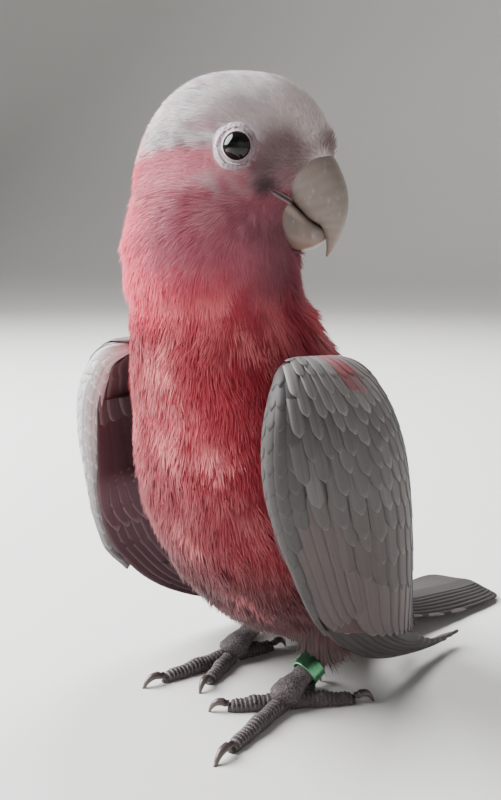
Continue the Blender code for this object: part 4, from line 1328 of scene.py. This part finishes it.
def make_tail():
    core = fused("tail_core", 0.8 * MM, 0.25 * MM, ("tail",), smoothing=8)
    points, normals = shape_of(core.data)
    move_points(core.data, points - normals * 0.75 * MM)
    attach(core.data, marking=np.tile([*linear("#4a4242"), 1.0], (len(points), 1)))
    core.data.materials.append(under_skin())
    stands_for(core, "plumage_slate", "tail")
    made = []
    for rank, index in enumerate(sorted(range(12), key=lambda i: -abs(i - 5.5))):
        k = (index - 5.5) / 5.5
        made.append(vane(tail_point, "right", (0.2, 0.55 * k), (6.9 - 0.5 * abs(k), 0.72 * k), 5.6,
                         -0.5 + 0.09 * rank, math.copysign(0.12, k), rows=30, tip=0.14, seed=index + 90))
    mesh = vanes_mesh("tail_feathers", made, [np.array(colours().primary)] * 12)
    piece("tail_feathers", mesh, vane_finish("tail_feather_vanes", 0.14, 0.12), "plumage_slate")


# ---- eyes and lids ----


def eye_spin(sign, r, angle, out):
    """Points round an eye: r from its axis, angle from the bill upwards, out along the axis."""
    x, y, z = EYE_AT
    ahead, up = r * np.cos(angle), r * np.sin(angle)
    c, s = math.cos(EYE_TILT), math.sin(EYE_TILT)
    return head_world(np.stack([x + ahead * c + out * s, sign * (y + out * c - ahead * s), z + up], -1))


def wet_eye():
    """Wet cornea over a dark brown iris: almost black, with one sharp highlight."""
    made, tree, reach = material("wet_eye", reach="Fac")
    brown = add(tree, "Mix", {0: grain(tree, 0.5, 3.0), 6: "#0d0a0a", 7: "#1c1413"}, 2,
                data_type="RGBA")
    # From the axis out: the pupil, the iris and its dark rim.
    layers = [(add(tree, "MapRange", {"Value": reach, "From Min": start, "From Max": end}), tone)
              for start, end, tone in ((2.1, 2.5, brown), (3.6, 4.2, "#0a0808"))]
    return finished(made, "#050506", layers, Roughness=0.05, IOR=1.376)


def make_eyes():
    """Eyeballs with a raised cornea, each in one mesh, painted by distance from the axis."""
    finish = wet_eye()
    for side, sign in SIDES.items():
        polar = np.linspace(0.02, math.pi - 0.02, 40)[:, None]
        bulge = EYE_RADIUS * (1 + 0.045 * ramp(polar, 0.75, 0.25))
        around = turns(64) + 0 * polar
        radius = np.sin(polar) * bulge + 0 * around
        rings = eye_spin(sign, radius, around, np.cos(polar) * bulge + 0 * around)
        front = np.where(polar < math.pi / 2, radius, EYE_RADIUS)
        mesh = grid_mesh(f"eyeball_{side}", [rings], {"reach": [front]})
        piece(f"eyeball_{side}", mesh, finish, "eye_dark", f"eye_{side}")


def bare_eye_skin():
    """Bare skin: dry, matt, slightly translucent and pink where thin; painted shade in its folds and on its
    far side.
    """
    made, tree, fold, rear = material("bare_eye_skin", fold="Fac", rear="Fac")
    fine = grain(tree, 0.6)
    # The pale copy is the lit skin and the grey one painted shade; rear mixes them.
    pale, painted_shade_grey = (add(tree, "Mix", {0: fine, 6: one, 7: other}, 2, data_type="RGBA")
                    for one, other in ((colours().eye_skin, "#e6d9dd"), ("#5f5055", "#84757a")))
    base = add(tree, "Mix", {0: rear, 6: painted_shade_grey, 7: pale}, 2, data_type="RGBA")
    # The dark mauve is painted shade, laid where the fold values are low.
    return finished(made, "#7d646c", [(fold, base)], (fine, 0.06, 0.6), Roughness=0.55,
                    Subsurface_Weight=0.12, Subsurface_Scale=0.001, Subsurface_Radius=(1.0, 0.4, 0.3))


def make_lids():
    """The bare ring of wrinkled skin round each eye, with its rolled lid edge."""
    finish = bare_eye_skin()
    # The lid's inner edge, where the rays that look for the skin start, and the steps out and back.
    inside, above, out_steps, back_steps = 3.95, 14.0, 30, 6
    angle = turns(128)
    back, lit = 0.5 - 0.5 * np.cos(angle), 0.5 - 0.5 * np.cos(angle + 0.45)
    outer = 5.9 + 1.45 * back - 0.15 * np.cos(2 * angle)
    outer = outer + 0.18 * np.sin(5 * angle + 1) + 0.1 * np.sin(11 * angle)
    # Rings from the lid's edge out to the feathers, and back underneath.
    share = np.concatenate([np.linspace(0, 1, out_steps), np.linspace(1, 0, back_steps)])[:, None]
    top = np.arange(len(share))[:, None] < out_steps
    r = inside + (outer - inside)[None] * share
    ball = np.sqrt(np.maximum((EYE_RADIUS * 1.02) ** 2 - r**2, 0.5))
    for side, sign in SIDES.items():
        ground = np.zeros(r.shape)
        axis = Vector(eye_spin(sign, 0.0, 0.0, 1.0)) - Vector(eye_spin(sign, 0.0, 0.0, 0.0))
        for i, j in np.ndindex(r.shape):
            start = Vector(eye_spin(sign, r[i, j], angle[j], above))
            hit = SKIN["tree"].ray_cast(start, -axis.normalized(), 0.02)
            ground[i, j] = above - hit[3] / MM if hit[0] else 0.5
        blend = ramp(share, 0.08, 0.62)
        rolled = ball + 0.25 + 0.38 * np.exp(-((share - 0.10) / 0.07) ** 2)
        flat = np.stack([r * np.cos(angle), r * np.sin(angle), 0 * r + 2 * sign], -1)
        wrinkles = ripple(flat * (1, 1, 0), 1.5, 31)
        wrinkles = wrinkles + 0.8 * ripple(flat, 0.8, 32) + 0.6 * ripple(flat, 0.55, 33)
        rolls = np.sin(share * (4.2 + 0.8 * np.cos(angle)) * 2 * math.pi + ripple(flat, 3.0, 34))
        creases = (0.075 * wrinkles + 0.05 * rolls) * ramp(share, 0.10, 0.25) * ramp(share, 1.0, 0.85)
        high = rolled * (1 - blend) + (ground + 0.6 * (1 - 0.8 * ramp(share, 0.6, 1.0))) * blend + creases
        high = np.where(top, high, np.minimum(rolled, ground + 0.6) - 1.3)
        rings = eye_spin(sign, r, angle[None] + 0 * share, high)
        # Painted shade on the wrinkles: darker in the troughs and the groove beside the lid's edge, full
        # colour on the crests and the edge.
        fold = 0.74 + 4.5 * creases + 0.4 * (share < 0.10) - 0.35 * np.exp(-((share - 0.19) / 0.04) ** 2)
        # rear is painted light: pale on the side towards the light, greyer painted shade on the other.
        rear = 0.05 + 0.95 * ramp(lit, 0.15, 1.0) + 0 * share
        mesh = closed_band(f"eyelid_{side}", rings, fold=np.clip(fold, 0, 1), rear=rear)
        piece(f"eyelid_{side}", mesh, finish, "plumage_crown")


# ---- bill ----

# From the forehead to the tip: x and height of the ridge, x and height of the cutting edge, and half width.
UPPER_BILL_ROWS = (
    (23.0, 3.0, 12.5, -9.5, 7.6), (29.0, -1.0, 14.5, -13.0, 9.2), (33.2, -6.0, 17.0, -15.6, 9.2),
    (35.8, -11.0, 20.0, -17.4, 8.2), (37.3, -16.0, 22.8, -20.2, 7.2), (37.4, -20.6, 26.0, -23.4, 6.2),
    (36.5, -25.0, 29.4, -25.4, 4.6), (35.1, -29.0, 30.9, -28.2, 3.0), (33.2, -32.5, 31.2, -31.5, 1.6),
    (31.4, -34.7, 31.0, -34.3, 0.3),
)
# From the root to the tip: x, height of the top and of the keel, and half width.
LOWER_BILL_ROWS = (
    (10.0, -14.5, -25.0, 5.0), (13.5, -14.2, -29.0, 6.8), (17.0, -15.0, -31.2, 7.2),
    (20.5, -17.3, -32.3, 6.9), (24.0, -21.0, -32.6, 6.0), (27.0, -23.9, -32.2, 4.8),
    (29.5, -25.6, -30.8, 3.4), (31.1, -26.6, -29.2, 1.4),
)
MOUTH_PATH = ((16.4, 14.7, -15.0), (17.6, 13.9, -15.7), (19.0, 12.4, -16.6), (20.3, 10.6, -17.5),
              (21.3, 9.2, -18.2), (21.9, 8.2, -18.7))


def bill_horn():
    """Horn: satin keratin plates, faint growth bands, chalky flakes, darker at the cutting edges where they
    meet.
    """
    made, tree, edge, travel, under, lip = material("bill_horn", edge="Fac", travel="Fac", under="Fac",
                                                    lip="Fac")
    cloudy, flaky = grain(tree, 9.0, 3.0), grain(tree, 1.6, 5.0, (1, 1, 0.6))
    bands = add(tree, "Math", {0: cloudy, 1: 5.0}, operation="MULTIPLY")
    bands = add(tree, "Math", {0: travel, 1: 9.0, 2: bands}, operation="MULTIPLY_ADD")
    bands = add(tree, "Math", {0: bands}, operation="SINE")
    faint = add(tree, "Math", {0: bands, 1: 0.02, 2: 0.05}, operation="MULTIPLY_ADD")
    chalk, tip, worn = (
        add(tree, "MapRange", {"Value": value, "From Min": start, "From Max": end, "To Max": most})
        for value, start, end, most in ((flaky, 0.58, 0.8, 0.20), (travel, 6.2, 9.0, 0.55),
                                        (edge, 0.72, 1.0, 0.85)))
    # The last layer darkens the horn along the cutting edges, where the two halves meet.
    layers = ((cloudy, colours().bill), (faint, "#cfc4ba"), (chalk, "#d6cdc6"), (tip, "#8a6f62"),
              (under, "#8c6a5d"), (lip, "#c2b0a6"), (worn, "#45352f"))
    relief = add(tree, "Math", {0: bands, 1: 0.015}, operation="MULTIPLY")
    relief = add(tree, "Math", {0: flaky, 1: 0.6, 2: relief}, operation="MULTIPLY_ADD")
    return finished(made, "#6a5c54", layers, (relief, 0.12, 0.6), Roughness=0.42, Specular_IOR_Level=0.45,
                    Subsurface_Weight=0.12, Subsurface_Scale=0.0015)


def upper_bill(angle, count=96):
    """The upper bill's rings, and what its finish reads there."""
    ridge_x, ridge_z, edge_x, edge_z, half = columns(UPPER_BILL_ROWS, count)
    reach = np.cos(angle)
    square = np.where(reach > 0, 2.0, 3.0)
    climb, across = power(reach, square), power(np.sin(angle), square) * half
    travel = np.linspace(0, len(UPPER_BILL_ROWS) - 1, count)[:, None]
    lip = np.exp(-((reach + 0.72) / 0.16) ** 2) * ramp(travel, 0.5, 2.0) * ramp(travel, 8.5, 6.0)
    across = across * (1 + 0.035 * lip) * (1 + 0.006 * np.sin(travel * 7.0) * ramp(reach, -0.4, 0.2))
    x = (ridge_x + edge_x) / 2 + climb * (ridge_x - edge_x) / 2
    z = (ridge_z + edge_z) / 2 + climb * (ridge_z - edge_z) / 2
    return head_world(np.stack([x, across, z], -1)), {
        "edge": [ramp(-reach, 0.35, 0.95) + 0 * x], "travel": [travel + 0 * x], "under": [0 * x],
        "lip": [0 * x]}


def lower_bill(angle, count=64):
    """The lower bill's rings, and what its finish reads there."""
    x, top, keel, half = columns(LOWER_BILL_ROWS, count)
    high = np.sin(angle)
    z = (top + keel) / 2 + power(high, 2.6) * (top - keel) / 2
    return head_world(np.stack([x + 0 * z, power(np.cos(angle), 2.6) * half, z], -1)), {
        "edge": [ramp(high, 0.62, 0.95) + 0 * x], "travel": [np.linspace(2.0, 5.5, count)[:, None] + 0 * z],
        "under": [0.55 * ramp(high, 0.1, -0.8) + 0 * x],
        "lip": [0.6 * ramp(high, 0.25, 0.5) * ramp(high, 0.85, 0.6) * ramp(x, 28, 22)]}


def make_bill():
    finish = bill_horn()
    for name, (rings, facts) in (("upper", upper_bill(turns(72))), ("lower", lower_bill(turns(72)))):
        mesh = grid_mesh(f"{name}_bill", [rings], facts)
        piece(f"{name}_bill", mesh, finish, "bill_horn", f"bill_{name}")


def bare_mouth_corner():
    """Bare skin of the mouth: damp looking, mauve, with a blackish crease that is painted shade."""
    made, tree, crease = material("bare_mouth_corner", crease="Fac")
    fine = grain(tree, 0.7)
    return finished(made, "#6b5257", ((fine, "#7f686c"), (crease, "#20191a")), (fine, 0.08, 0.6),
                    Roughness=0.45, Subsurface_Weight=0.15, Subsurface_Scale=0.0008)


def make_mouth_corners():
    """The soft corner of the mouth on each side: a dark crease, painted shade, between two thin pale lips.
    """
    finish = bare_mouth_corner()
    steps, sides = 40, 14
    share = np.linspace(0, 1, steps)
    path = along(MOUTH_PATH, share * (len(MOUTH_PATH) - 1))
    ways = unit(np.gradient(path, axis=0))
    out = unit(np.array((0.45, 1.0, -0.1)))
    up = unit(np.cross(ways, out))
    size = 0.08 + 0.42 * ramp(share, 0, 0.4)
    sheets, creases = [], []
    # The last number is painted shade: blackish in the crease between the lips and a little on the upper
    # lip.
    for rise, radius, stand, dark in ((1.05, 0.7, 0.25, 0.35), (0.0, 0.95, 0.25, 1.0),
                                      (-1.15, 0.8, 0.3, 0.0)):
        sheets.append(tube(path + up * (rise * size)[:, None] + out * stand, ways, size * radius, sides))
        creases.append(np.full((steps, sides), dark))
    for side, sign in SIDES.items():
        rings = [head_world(sheet * (1, sign, 1)) for sheet in sheets]
        mesh = grid_mesh("mouth_corner", rings, {"crease": creases})
        piece(f"mouth_corner_{side}", mesh, finish, "bill_horn")


# ---- feet ----

FOOT_AT = {"left": (21.0, -14.0), "right": (-16.0, -4.0)}
HEEL_FROM_FOOT = {"left": (0.5, 24.0, 17.5), "right": (2.5, 20.0, 19.0)}
BALL_HEIGHT = 4.6
# Each digit's heading in degrees from straight ahead, its length and its claw's length.
TOES = {
    "left": {"hallux": (-168, 15.0, 7.0), "inner": (-36, 17.0, 8.0), "middle": (15, 30.0, 11.0),
             "outer": (146, 22.0, 8.0)},
    "right": {"hallux": (168, 15.0, 7.0), "inner": (24, 19.0, 8.5), "middle": (-7, 28.0, 10.0),
              "outer": (-146, 21.0, 8.0)},
}
# Radii at shares of the length.
TOE_RADII = ((0.0, 2.9), (0.25, 2.6), (0.5, 2.65), (0.75, 2.25), (0.88, 2.2), (0.95, 1.85), (0.985, 1.3),
             (1.0, 0.5))
CLAW_RADII = ((0.0, 1.1), (0.08, 1.5), (0.4, 1.25), (0.75, 0.7), (1.0, 0.15))
SHANK_RADII = ((0.0, 1.5), (0.05, 3.4), (0.2, 3.7), (0.75, 3.3), (0.9, 4.6), (1.0, 4.8))
PLATE_LENGTH, PLATE_HEIGHT, PAD_HEIGHT = 1.45, 0.34, 0.30
TOE_START = 1.84
CLAW_BEND = math.radians(75.0)
BAND_AT, BAND_HEIGHT, BAND_INNER, BAND_OUTER, BAND_CORNER = 0.56, 5.0, 4.1, 5.0, 0.22


def shank_line(side):
    """The foot's centre on the floor, the heel, the ball of the foot, and the way from heel to ball."""
    centre = np.array((*FOOT_AT[side], 0.0))
    top, ball = centre + HEEL_FROM_FOOT[side], centre + (0, 0, BALL_HEIGHT)
    return centre, top, ball, unit(ball - top)


def foot_scales():
    """Foot scales: dry dark keratin, satin on the plates and pale with dust in the grooves."""
    made, tree, groove, upper = material("foot_scales", groove="Fac", upper="Fac")
    place = add(tree, "TexCoord", out="Object")
    cells = add(tree, "TexVoronoi", {"Vector": place, "Scale": 1150.0}, "Distance",
                feature="DISTANCE_TO_EDGE")
    cell = add(tree, "MapRange", {"Value": cells, "From Max": 0.12})
    dust = grain(tree, 2.5)
    c = colours()
    base, pale = (add(tree, "Mix", {0: dust, 6: one, 7: other}, 2, data_type="RGBA")
                  for one, other in ((c.foot, "#4a4142"), (c.scale_edge, "#6b6061")))
    off_cell, off_plate = (add(tree, "Math", {0: 1.0, 1: value}, operation="SUBTRACT")
                           for value in (cell, upper))
    between = add(tree, "Math", {0: off_cell, 1: off_plate}, operation="MULTIPLY")
    layers = [(add(tree, "Math", {0: value, 1: amount}, operation="MULTIPLY"), pale)
              for value, amount in ((between, 0.8), (groove, 0.75))]
    return finished(made, base, layers, (cell, 0.22, 0.8), Roughness=0.52, Specular_IOR_Level=0.4)


def claw_horn():
    """Claws: polished horn, dark at the root and paler and worn at the tip."""
    made, tree, travel = material("claw_horn", travel="Fac")
    streaks = grain(tree, 1.6)
    worn = add(tree, "Math", {0: travel, 1: 0.4}, operation="MULTIPLY")
    return finished(made, "#2c2523", ((streaks, "#4b4140"), (worn, "#8b7d74")), (streaks, 0.08, 0.5),
                    Roughness=0.28, Specular_IOR_Level=0.5)


def shank(side):
    """Rings of the shank and the ball of the foot, knobbly with small scales; their grooves and tops."""
    _, top, ball, down = shank_line(side)
    steps, nose_steps = 60, 3
    spin, share = turns(TUBE_SIDES), np.linspace(0, 1, steps)
    round_it = np.stack(np.broadcast_arrays(share[:, None] * 30, np.cos(spin) * 4, np.sin(spin) * 4), -1)
    bumps = 0.16 * ripple(round_it, 1.6, 4)
    radii = np.interp(share, *np.array(SHANK_RADII).T)[:, None] + bumps * 0.6
    rings = tube(top + (ball - top) * share[:, None], np.tile(down, (steps, 1)), radii)
    flat = unit(np.array((down[0], down[1], 0.0)))
    nose = tube([ball + flat * reach - (0, 0, 0.2) for reach in (2.2, 4.0, 4.8)],
                np.tile(down, (nose_steps, 1)), (4.2, 2.6, 0.8))
    grooves = np.concatenate([np.clip(-bumps * 2.2, 0, 1), np.zeros((nose_steps, TUBE_SIDES))])
    return np.concatenate([rings, nose]), grooves, np.zeros(grooves.shape)


def toe(root, ahead, reach):
    """Rings of a toe with overlapping plates on top and pads below; its grooves and its upper side."""
    spin = turns(TUBE_SIDES)
    share = np.sin(np.linspace(0, 1, int(reach * 4.5)) * math.pi / 2) ** 0.9
    base = np.interp(share, *np.array(TOE_RADII).T)
    travel = (share * reach)[:, None] + 0.35 * np.cos(spin) ** 2
    phase = (travel / PLATE_LENGTH) % 1.0
    plates = PLATE_HEIGHT * ramp(phase, 0.0, 0.80) * ramp(phase, 1.0, 0.86) * ramp(np.sin(spin), -0.25, 0.35)
    pads = PAD_HEIGHT * np.abs(np.sin(3 * math.pi * share + 0.4))[:, None] * ramp(np.sin(spin), 0.1, -0.7)
    radii = base[:, None] * (1 - 0.04 * np.cos(2 * spin)) - 0.18 + plates + pads
    middles = root + ahead * (share * reach)[:, None]
    middles[:, 2] = base - 0.5 - 0.5 * share + 0.35 * np.sin(3 * math.pi * share) ** 2
    grooves = np.maximum(ramp(phase, 0.82, 0.95), ramp(phase, 0.12, 0.0)) * ramp(np.sin(spin), -0.3, 0.3)
    upper = ramp(np.sin(spin), -0.1, 0.4) + 0 * travel
    return tube(middles, np.tile(ahead, (len(share), 1)), radii), grooves, upper


def claw(tip, ahead, reach):
    """Rings of a claw that bends to the floor, and how far along it they are."""
    share = np.linspace(-0.12, 1, 44)
    curl = CLAW_BEND * np.maximum(share, 0)
    radius = np.interp(share, *np.array(CLAW_RADII).T)
    forward = np.where(share > 0, np.sin(curl), share * CLAW_BEND) / CLAW_BEND
    middles = tip + ahead * (reach * forward)[:, None]
    drop = reach * (1 - np.cos(curl)) / CLAW_BEND
    middles[:, 2] = np.maximum(2.6 + 1.2 * np.sin(math.pi * np.maximum(share, 0)) - drop * 0.8, radius * 0.6)
    ways = ahead * np.cos(curl)[:, None] - np.array((0, 0, 1.0)) * (np.sin(curl) * 0.7)[:, None]
    under = 1 - 0.12 * ramp(np.sin(turns(TUBE_SIDES)), -0.2, -0.9)
    return tube(middles, ways, radius[:, None] * under), np.maximum(share, 0)[:, None] + 0 * under


def on_floor(sheets):
    """Sheets in metres, with nothing below the floor."""
    return [world(np.maximum(rings, (-np.inf, -np.inf, 0.02))) for rings in sheets]


def make_feet():
    scales, horn = foot_scales(), claw_horn()
    for side in SIDES:
        centre = shank_line(side)[0]
        feet, claws = [shank(side)], []
        for heading, reach, claw_reach in TOES[side].values():
            angle = math.radians(heading)
            ahead = np.array((math.sin(angle), -math.cos(angle), 0.0))
            root = centre + ahead * TOE_START
            feet.append(toe(root, ahead, reach))
            claws.append(claw(root + ahead * (reach + 0.3), ahead, claw_reach))
        rings, grooves, tops = zip(*feet)
        mesh = grid_mesh(f"foot_{side}", on_floor(rings), {"groove": grooves, "upper": tops})
        digits = [f"toe_{side}_{digit}" for digit in TOES[side]]
        piece(f"foot_{side}", mesh, scales, "foot_scale", f"shank_{side}", *digits)
        rings, travels = zip(*claws)
        mesh = grid_mesh(f"claws_{side}", on_floor(rings), {"travel": travels})
        digits = [f"claw_{side}_{digit}" for digit in TOES[side]]
        piece(f"claws_{side}", mesh, horn, "claw_horn", *digits)


def anodised_aluminium():
    """Anodised aluminium: hard bright green metal, finely turned, scuffed at its edges."""
    made, tree, worn = material("anodised_aluminium", worn="Fac")
    scuffs = grain(tree, 0.8, 5.0)
    layers = [(add(tree, "Math", {0: value, 1: scuffs}, operation="MULTIPLY"), tone)
              for value, tone in ((0.35, "#0f5a33"), (worn, "#a9d8b8"))]
    rough = add(tree, "MapRange", {"Value": scuffs, "To Min": 0.2, "To Max": 0.45})
    return finished(made, colours().ring, layers, Metallic=1.0, Roughness=rough)


def make_ring():
    """The leg ring: a rounded rectangle spun round the left shank."""
    _, top, ball, down = shank_line("left")
    sides = 96
    quarter = np.linspace(0, math.pi / 2, 5)
    path = np.concatenate([
        np.stack([x * (BAND_HEIGHT / 2 - BAND_CORNER) + BAND_CORNER * np.cos(start - quarter),
                  middle + BAND_CORNER * np.sin(start - quarter)], -1)
        for x, middle, start in ((1, BAND_OUTER - BAND_CORNER, math.pi / 2),
                                 (1, BAND_INNER + BAND_CORNER, 0.0),
                                 (-1, BAND_INNER + BAND_CORNER, -math.pi / 2),
                                 (-1, BAND_OUTER - BAND_CORNER, -math.pi))])
    rings = tube(top + (ball - top) * BAND_AT + down * path[:, :1], np.tile(down, (len(path), 1)),
                 np.repeat(path[:, 1:], sides, 1), sides)
    edge = ramp(np.abs(path[:, :1]), BAND_HEIGHT / 2 - 0.5, BAND_HEIGHT / 2 - 0.05) + 0 * turns(sides)
    mesh = closed_band("ring", world(rings), worn=edge)
    piece("leg_ring", mesh, anodised_aluminium(), "band_green", "leg_band")


# ---- stage ----

# The camera's place and turn in degrees, and the way to its right and away from it over the floor.
CAMERA_AT, CAMERA_TURN = (0.21579, -0.23816, 0.150), (80.0, 0.0, 48.0)
RIGHT, AWAY, UP = Vector((0.669, 0.743, 0.0)), Vector((-0.743, 0.669, 0.0)), Vector((0, 0, 1))
# Each light: how far right, away and up from the bird in metres, how wide, its watts and its tint.
LIGHTS = {
    "window": (-0.93, 0.2, 0.72, 1.1, 70.0, (0.98, 0.98, 1.0)),
    "room": (0.4, -1.1, 0.35, 1.2, 1.6, (1.0, 0.98, 0.97)),
    "rim": (0.1, 0.8, 0.95, 0.6, 20.0, (0.97, 0.98, 1.0)),
}
# The paper sweep from its middle out: distance and height in metres.
SWEEP = ((0.05, 0), (0.7, 0), (1.4, 0), (1.9, 0.02), (2.3, 0.14), (2.6, 0.42), (2.75, 0.85), (2.8, 1.4))


def seamless_paper():
    """Seamless paper: matt, near white, with faint fibres."""
    made, tree = material("seamless_paper")
    return finished(made, "#d9d7d3", [(grain(tree, 3.0, 5.0), "#dedcd8")], Roughness=0.95)


def make_stage():
    scene = bpy.context.scene
    camera = bpy.data.cameras.new("camera")
    camera.lens, camera.sensor_width, camera.clip_start = 40.5, 36.0, 0.01
    scene.camera = new_object("camera", camera, place=CAMERA_AT)
    scene.camera.rotation_euler = [math.radians(angle) for angle in CAMERA_TURN]
    middle = (Vector(CAD_BOX[0]) + Vector(CAD_BOX[1])) / 2
    for name, (right, away, up, size, power_watts, tint) in LIGHTS.items():
        light = bpy.data.lights.new(name, "AREA")
        light.shape, light.size, light.energy, light.color = "DISK", size, power_watts, tint
        item = new_object(name, light, place=middle + RIGHT * right + AWAY * away + UP * up)
        item.rotation_euler = (middle - item.location).to_track_quat("-Z", "Y").to_euler()
    scene.world = bpy.data.worlds.new("room_light")
    scene.world.use_nodes = True
    feed(scene.world.node_tree.nodes["Background"], {0: (0.80, 0.82, 0.84), 1: 0.165})
    # A seamless paper sweep, big enough for every side.
    profile = along(SWEEP, np.linspace(0, len(SWEEP) - 1, 50))[::-1]
    sides = 96
    around = turns(sides)
    rings = np.stack([profile[:, :1] * np.cos(around), profile[:, :1] * np.sin(around),
                      np.maximum(profile[:, 1:], 0) + 0 * around], -1)
    shape = bmesh.new()
    verts = [[shape.verts.new(point) for point in ring] for ring in rings]
    for ring, inside in zip(verts, verts[1:]):
        for j in range(sides):
            after = (j + 1) % sides
            shape.faces.new((ring[j], ring[after], inside[after], inside[j]))
    shape.faces.new(verts[-1])
    mesh = bpy.data.meshes.new("floor")
    shape.to_mesh(mesh)
    shape.free()
    mesh.shade_smooth()
    new_object("floor", mesh, seamless_paper())


# ---- operators ----


class GalahSkin(bpy.types.Operator):
    """One skin over head, body and wings"""

    bl_idname = "galah.skin"
    bl_label = "Skin"

    def execute(self, context):
        make_skin()
        return {"FINISHED"}


class GalahCoat(bpy.types.Operator):
    """Contour feathers, grown over the skin"""

    bl_idname = "galah.coat"
    bl_label = "Coat"

    def execute(self, context):
        make_coats()
        return {"FINISHED"}


class GalahWingFeathers(bpy.types.Operator):
    """Long feathers and greater coverts of both wings"""

    bl_idname = "galah.wing_feathers"
    bl_label = "Wing feathers"

    def execute(self, context):
        make_wing_feathers()
        return {"FINISHED"}


class GalahTail(bpy.types.Operator):
    """The tail's feathers over a dark core"""

    bl_idname = "galah.tail"
    bl_label = "Tail"

    def execute(self, context):
        make_tail()
        return {"FINISHED"}


class GalahEyes(bpy.types.Operator):
    """Both eyeballs"""

    bl_idname = "galah.eyes"
    bl_label = "Eyes"

    def execute(self, context):
        make_eyes()
        return {"FINISHED"}


class GalahLids(bpy.types.Operator):
    """Bare wrinkled skin round the eyes"""

    bl_idname = "galah.lids"
    bl_label = "Lids"

    def execute(self, context):
        make_lids()
        return {"FINISHED"}


class GalahBill(bpy.types.Operator):
    """Upper and lower bill"""

    bl_idname = "galah.bill"
    bl_label = "Bill"

    def execute(self, context):
        make_bill()
        make_mouth_corners()
        return {"FINISHED"}


class GalahFeet(bpy.types.Operator):
    """Scaled feet and their claws"""

    bl_idname = "galah.feet"
    bl_label = "Feet"

    def execute(self, context):
        make_feet()
        return {"FINISHED"}


class GalahLegRing(bpy.types.Operator):
    """The ring on the left leg"""

    bl_idname = "galah.leg_ring"
    bl_label = "Leg ring"

    def execute(self, context):
        make_ring()
        return {"FINISHED"}


class GalahStage(bpy.types.Operator):
    """Floor, lights and camera"""

    bl_idname = "galah.stage"
    bl_label = "Stage"

    def execute(self, context):
        make_stage()
        return {"FINISHED"}


OPERATORS = (GalahSkin, GalahCoat, GalahWingFeathers, GalahTail, GalahEyes, GalahLids,
             GalahBill, GalahFeet, GalahLegRing, GalahStage)


class GalahPanel(bpy.types.Panel):
    """Lists the steps and their sizes and colours."""

    bl_idname = "VIEW3D_PT_galah"
    bl_label = "Galah"
    bl_space_type = "VIEW_3D"
    bl_region_type = "UI"
    bl_category = "Galah"

    def draw(self, context):
        for step in OPERATORS:
            self.layout.operator(step.bl_idname)
        for owner in (context.scene.galah_sizes, context.scene.galah_colours):
            for name in owner.bl_rna.properties.keys():
                if name not in ("rna_type", "name"):
                    self.layout.prop(owner, name)


def register():
    for owner in (GalahSizes, GalahColours, *OPERATORS, GalahPanel):
        bpy.utils.register_class(owner)
    bpy.types.Scene.galah_sizes = bpy.props.PointerProperty(type=GalahSizes)
    bpy.types.Scene.galah_colours = bpy.props.PointerProperty(type=GalahColours)


def unregister():
    del bpy.types.Scene.galah_sizes, bpy.types.Scene.galah_colours
    for owner in (GalahPanel, *reversed(OPERATORS), GalahColours, GalahSizes):
        bpy.utils.unregister_class(owner)


def main():
    register()
    for step in OPERATORS:
        getattr(bpy.ops.galah, step.bl_idname.split(".")[1])()


if __name__ == "__main__":
    main()
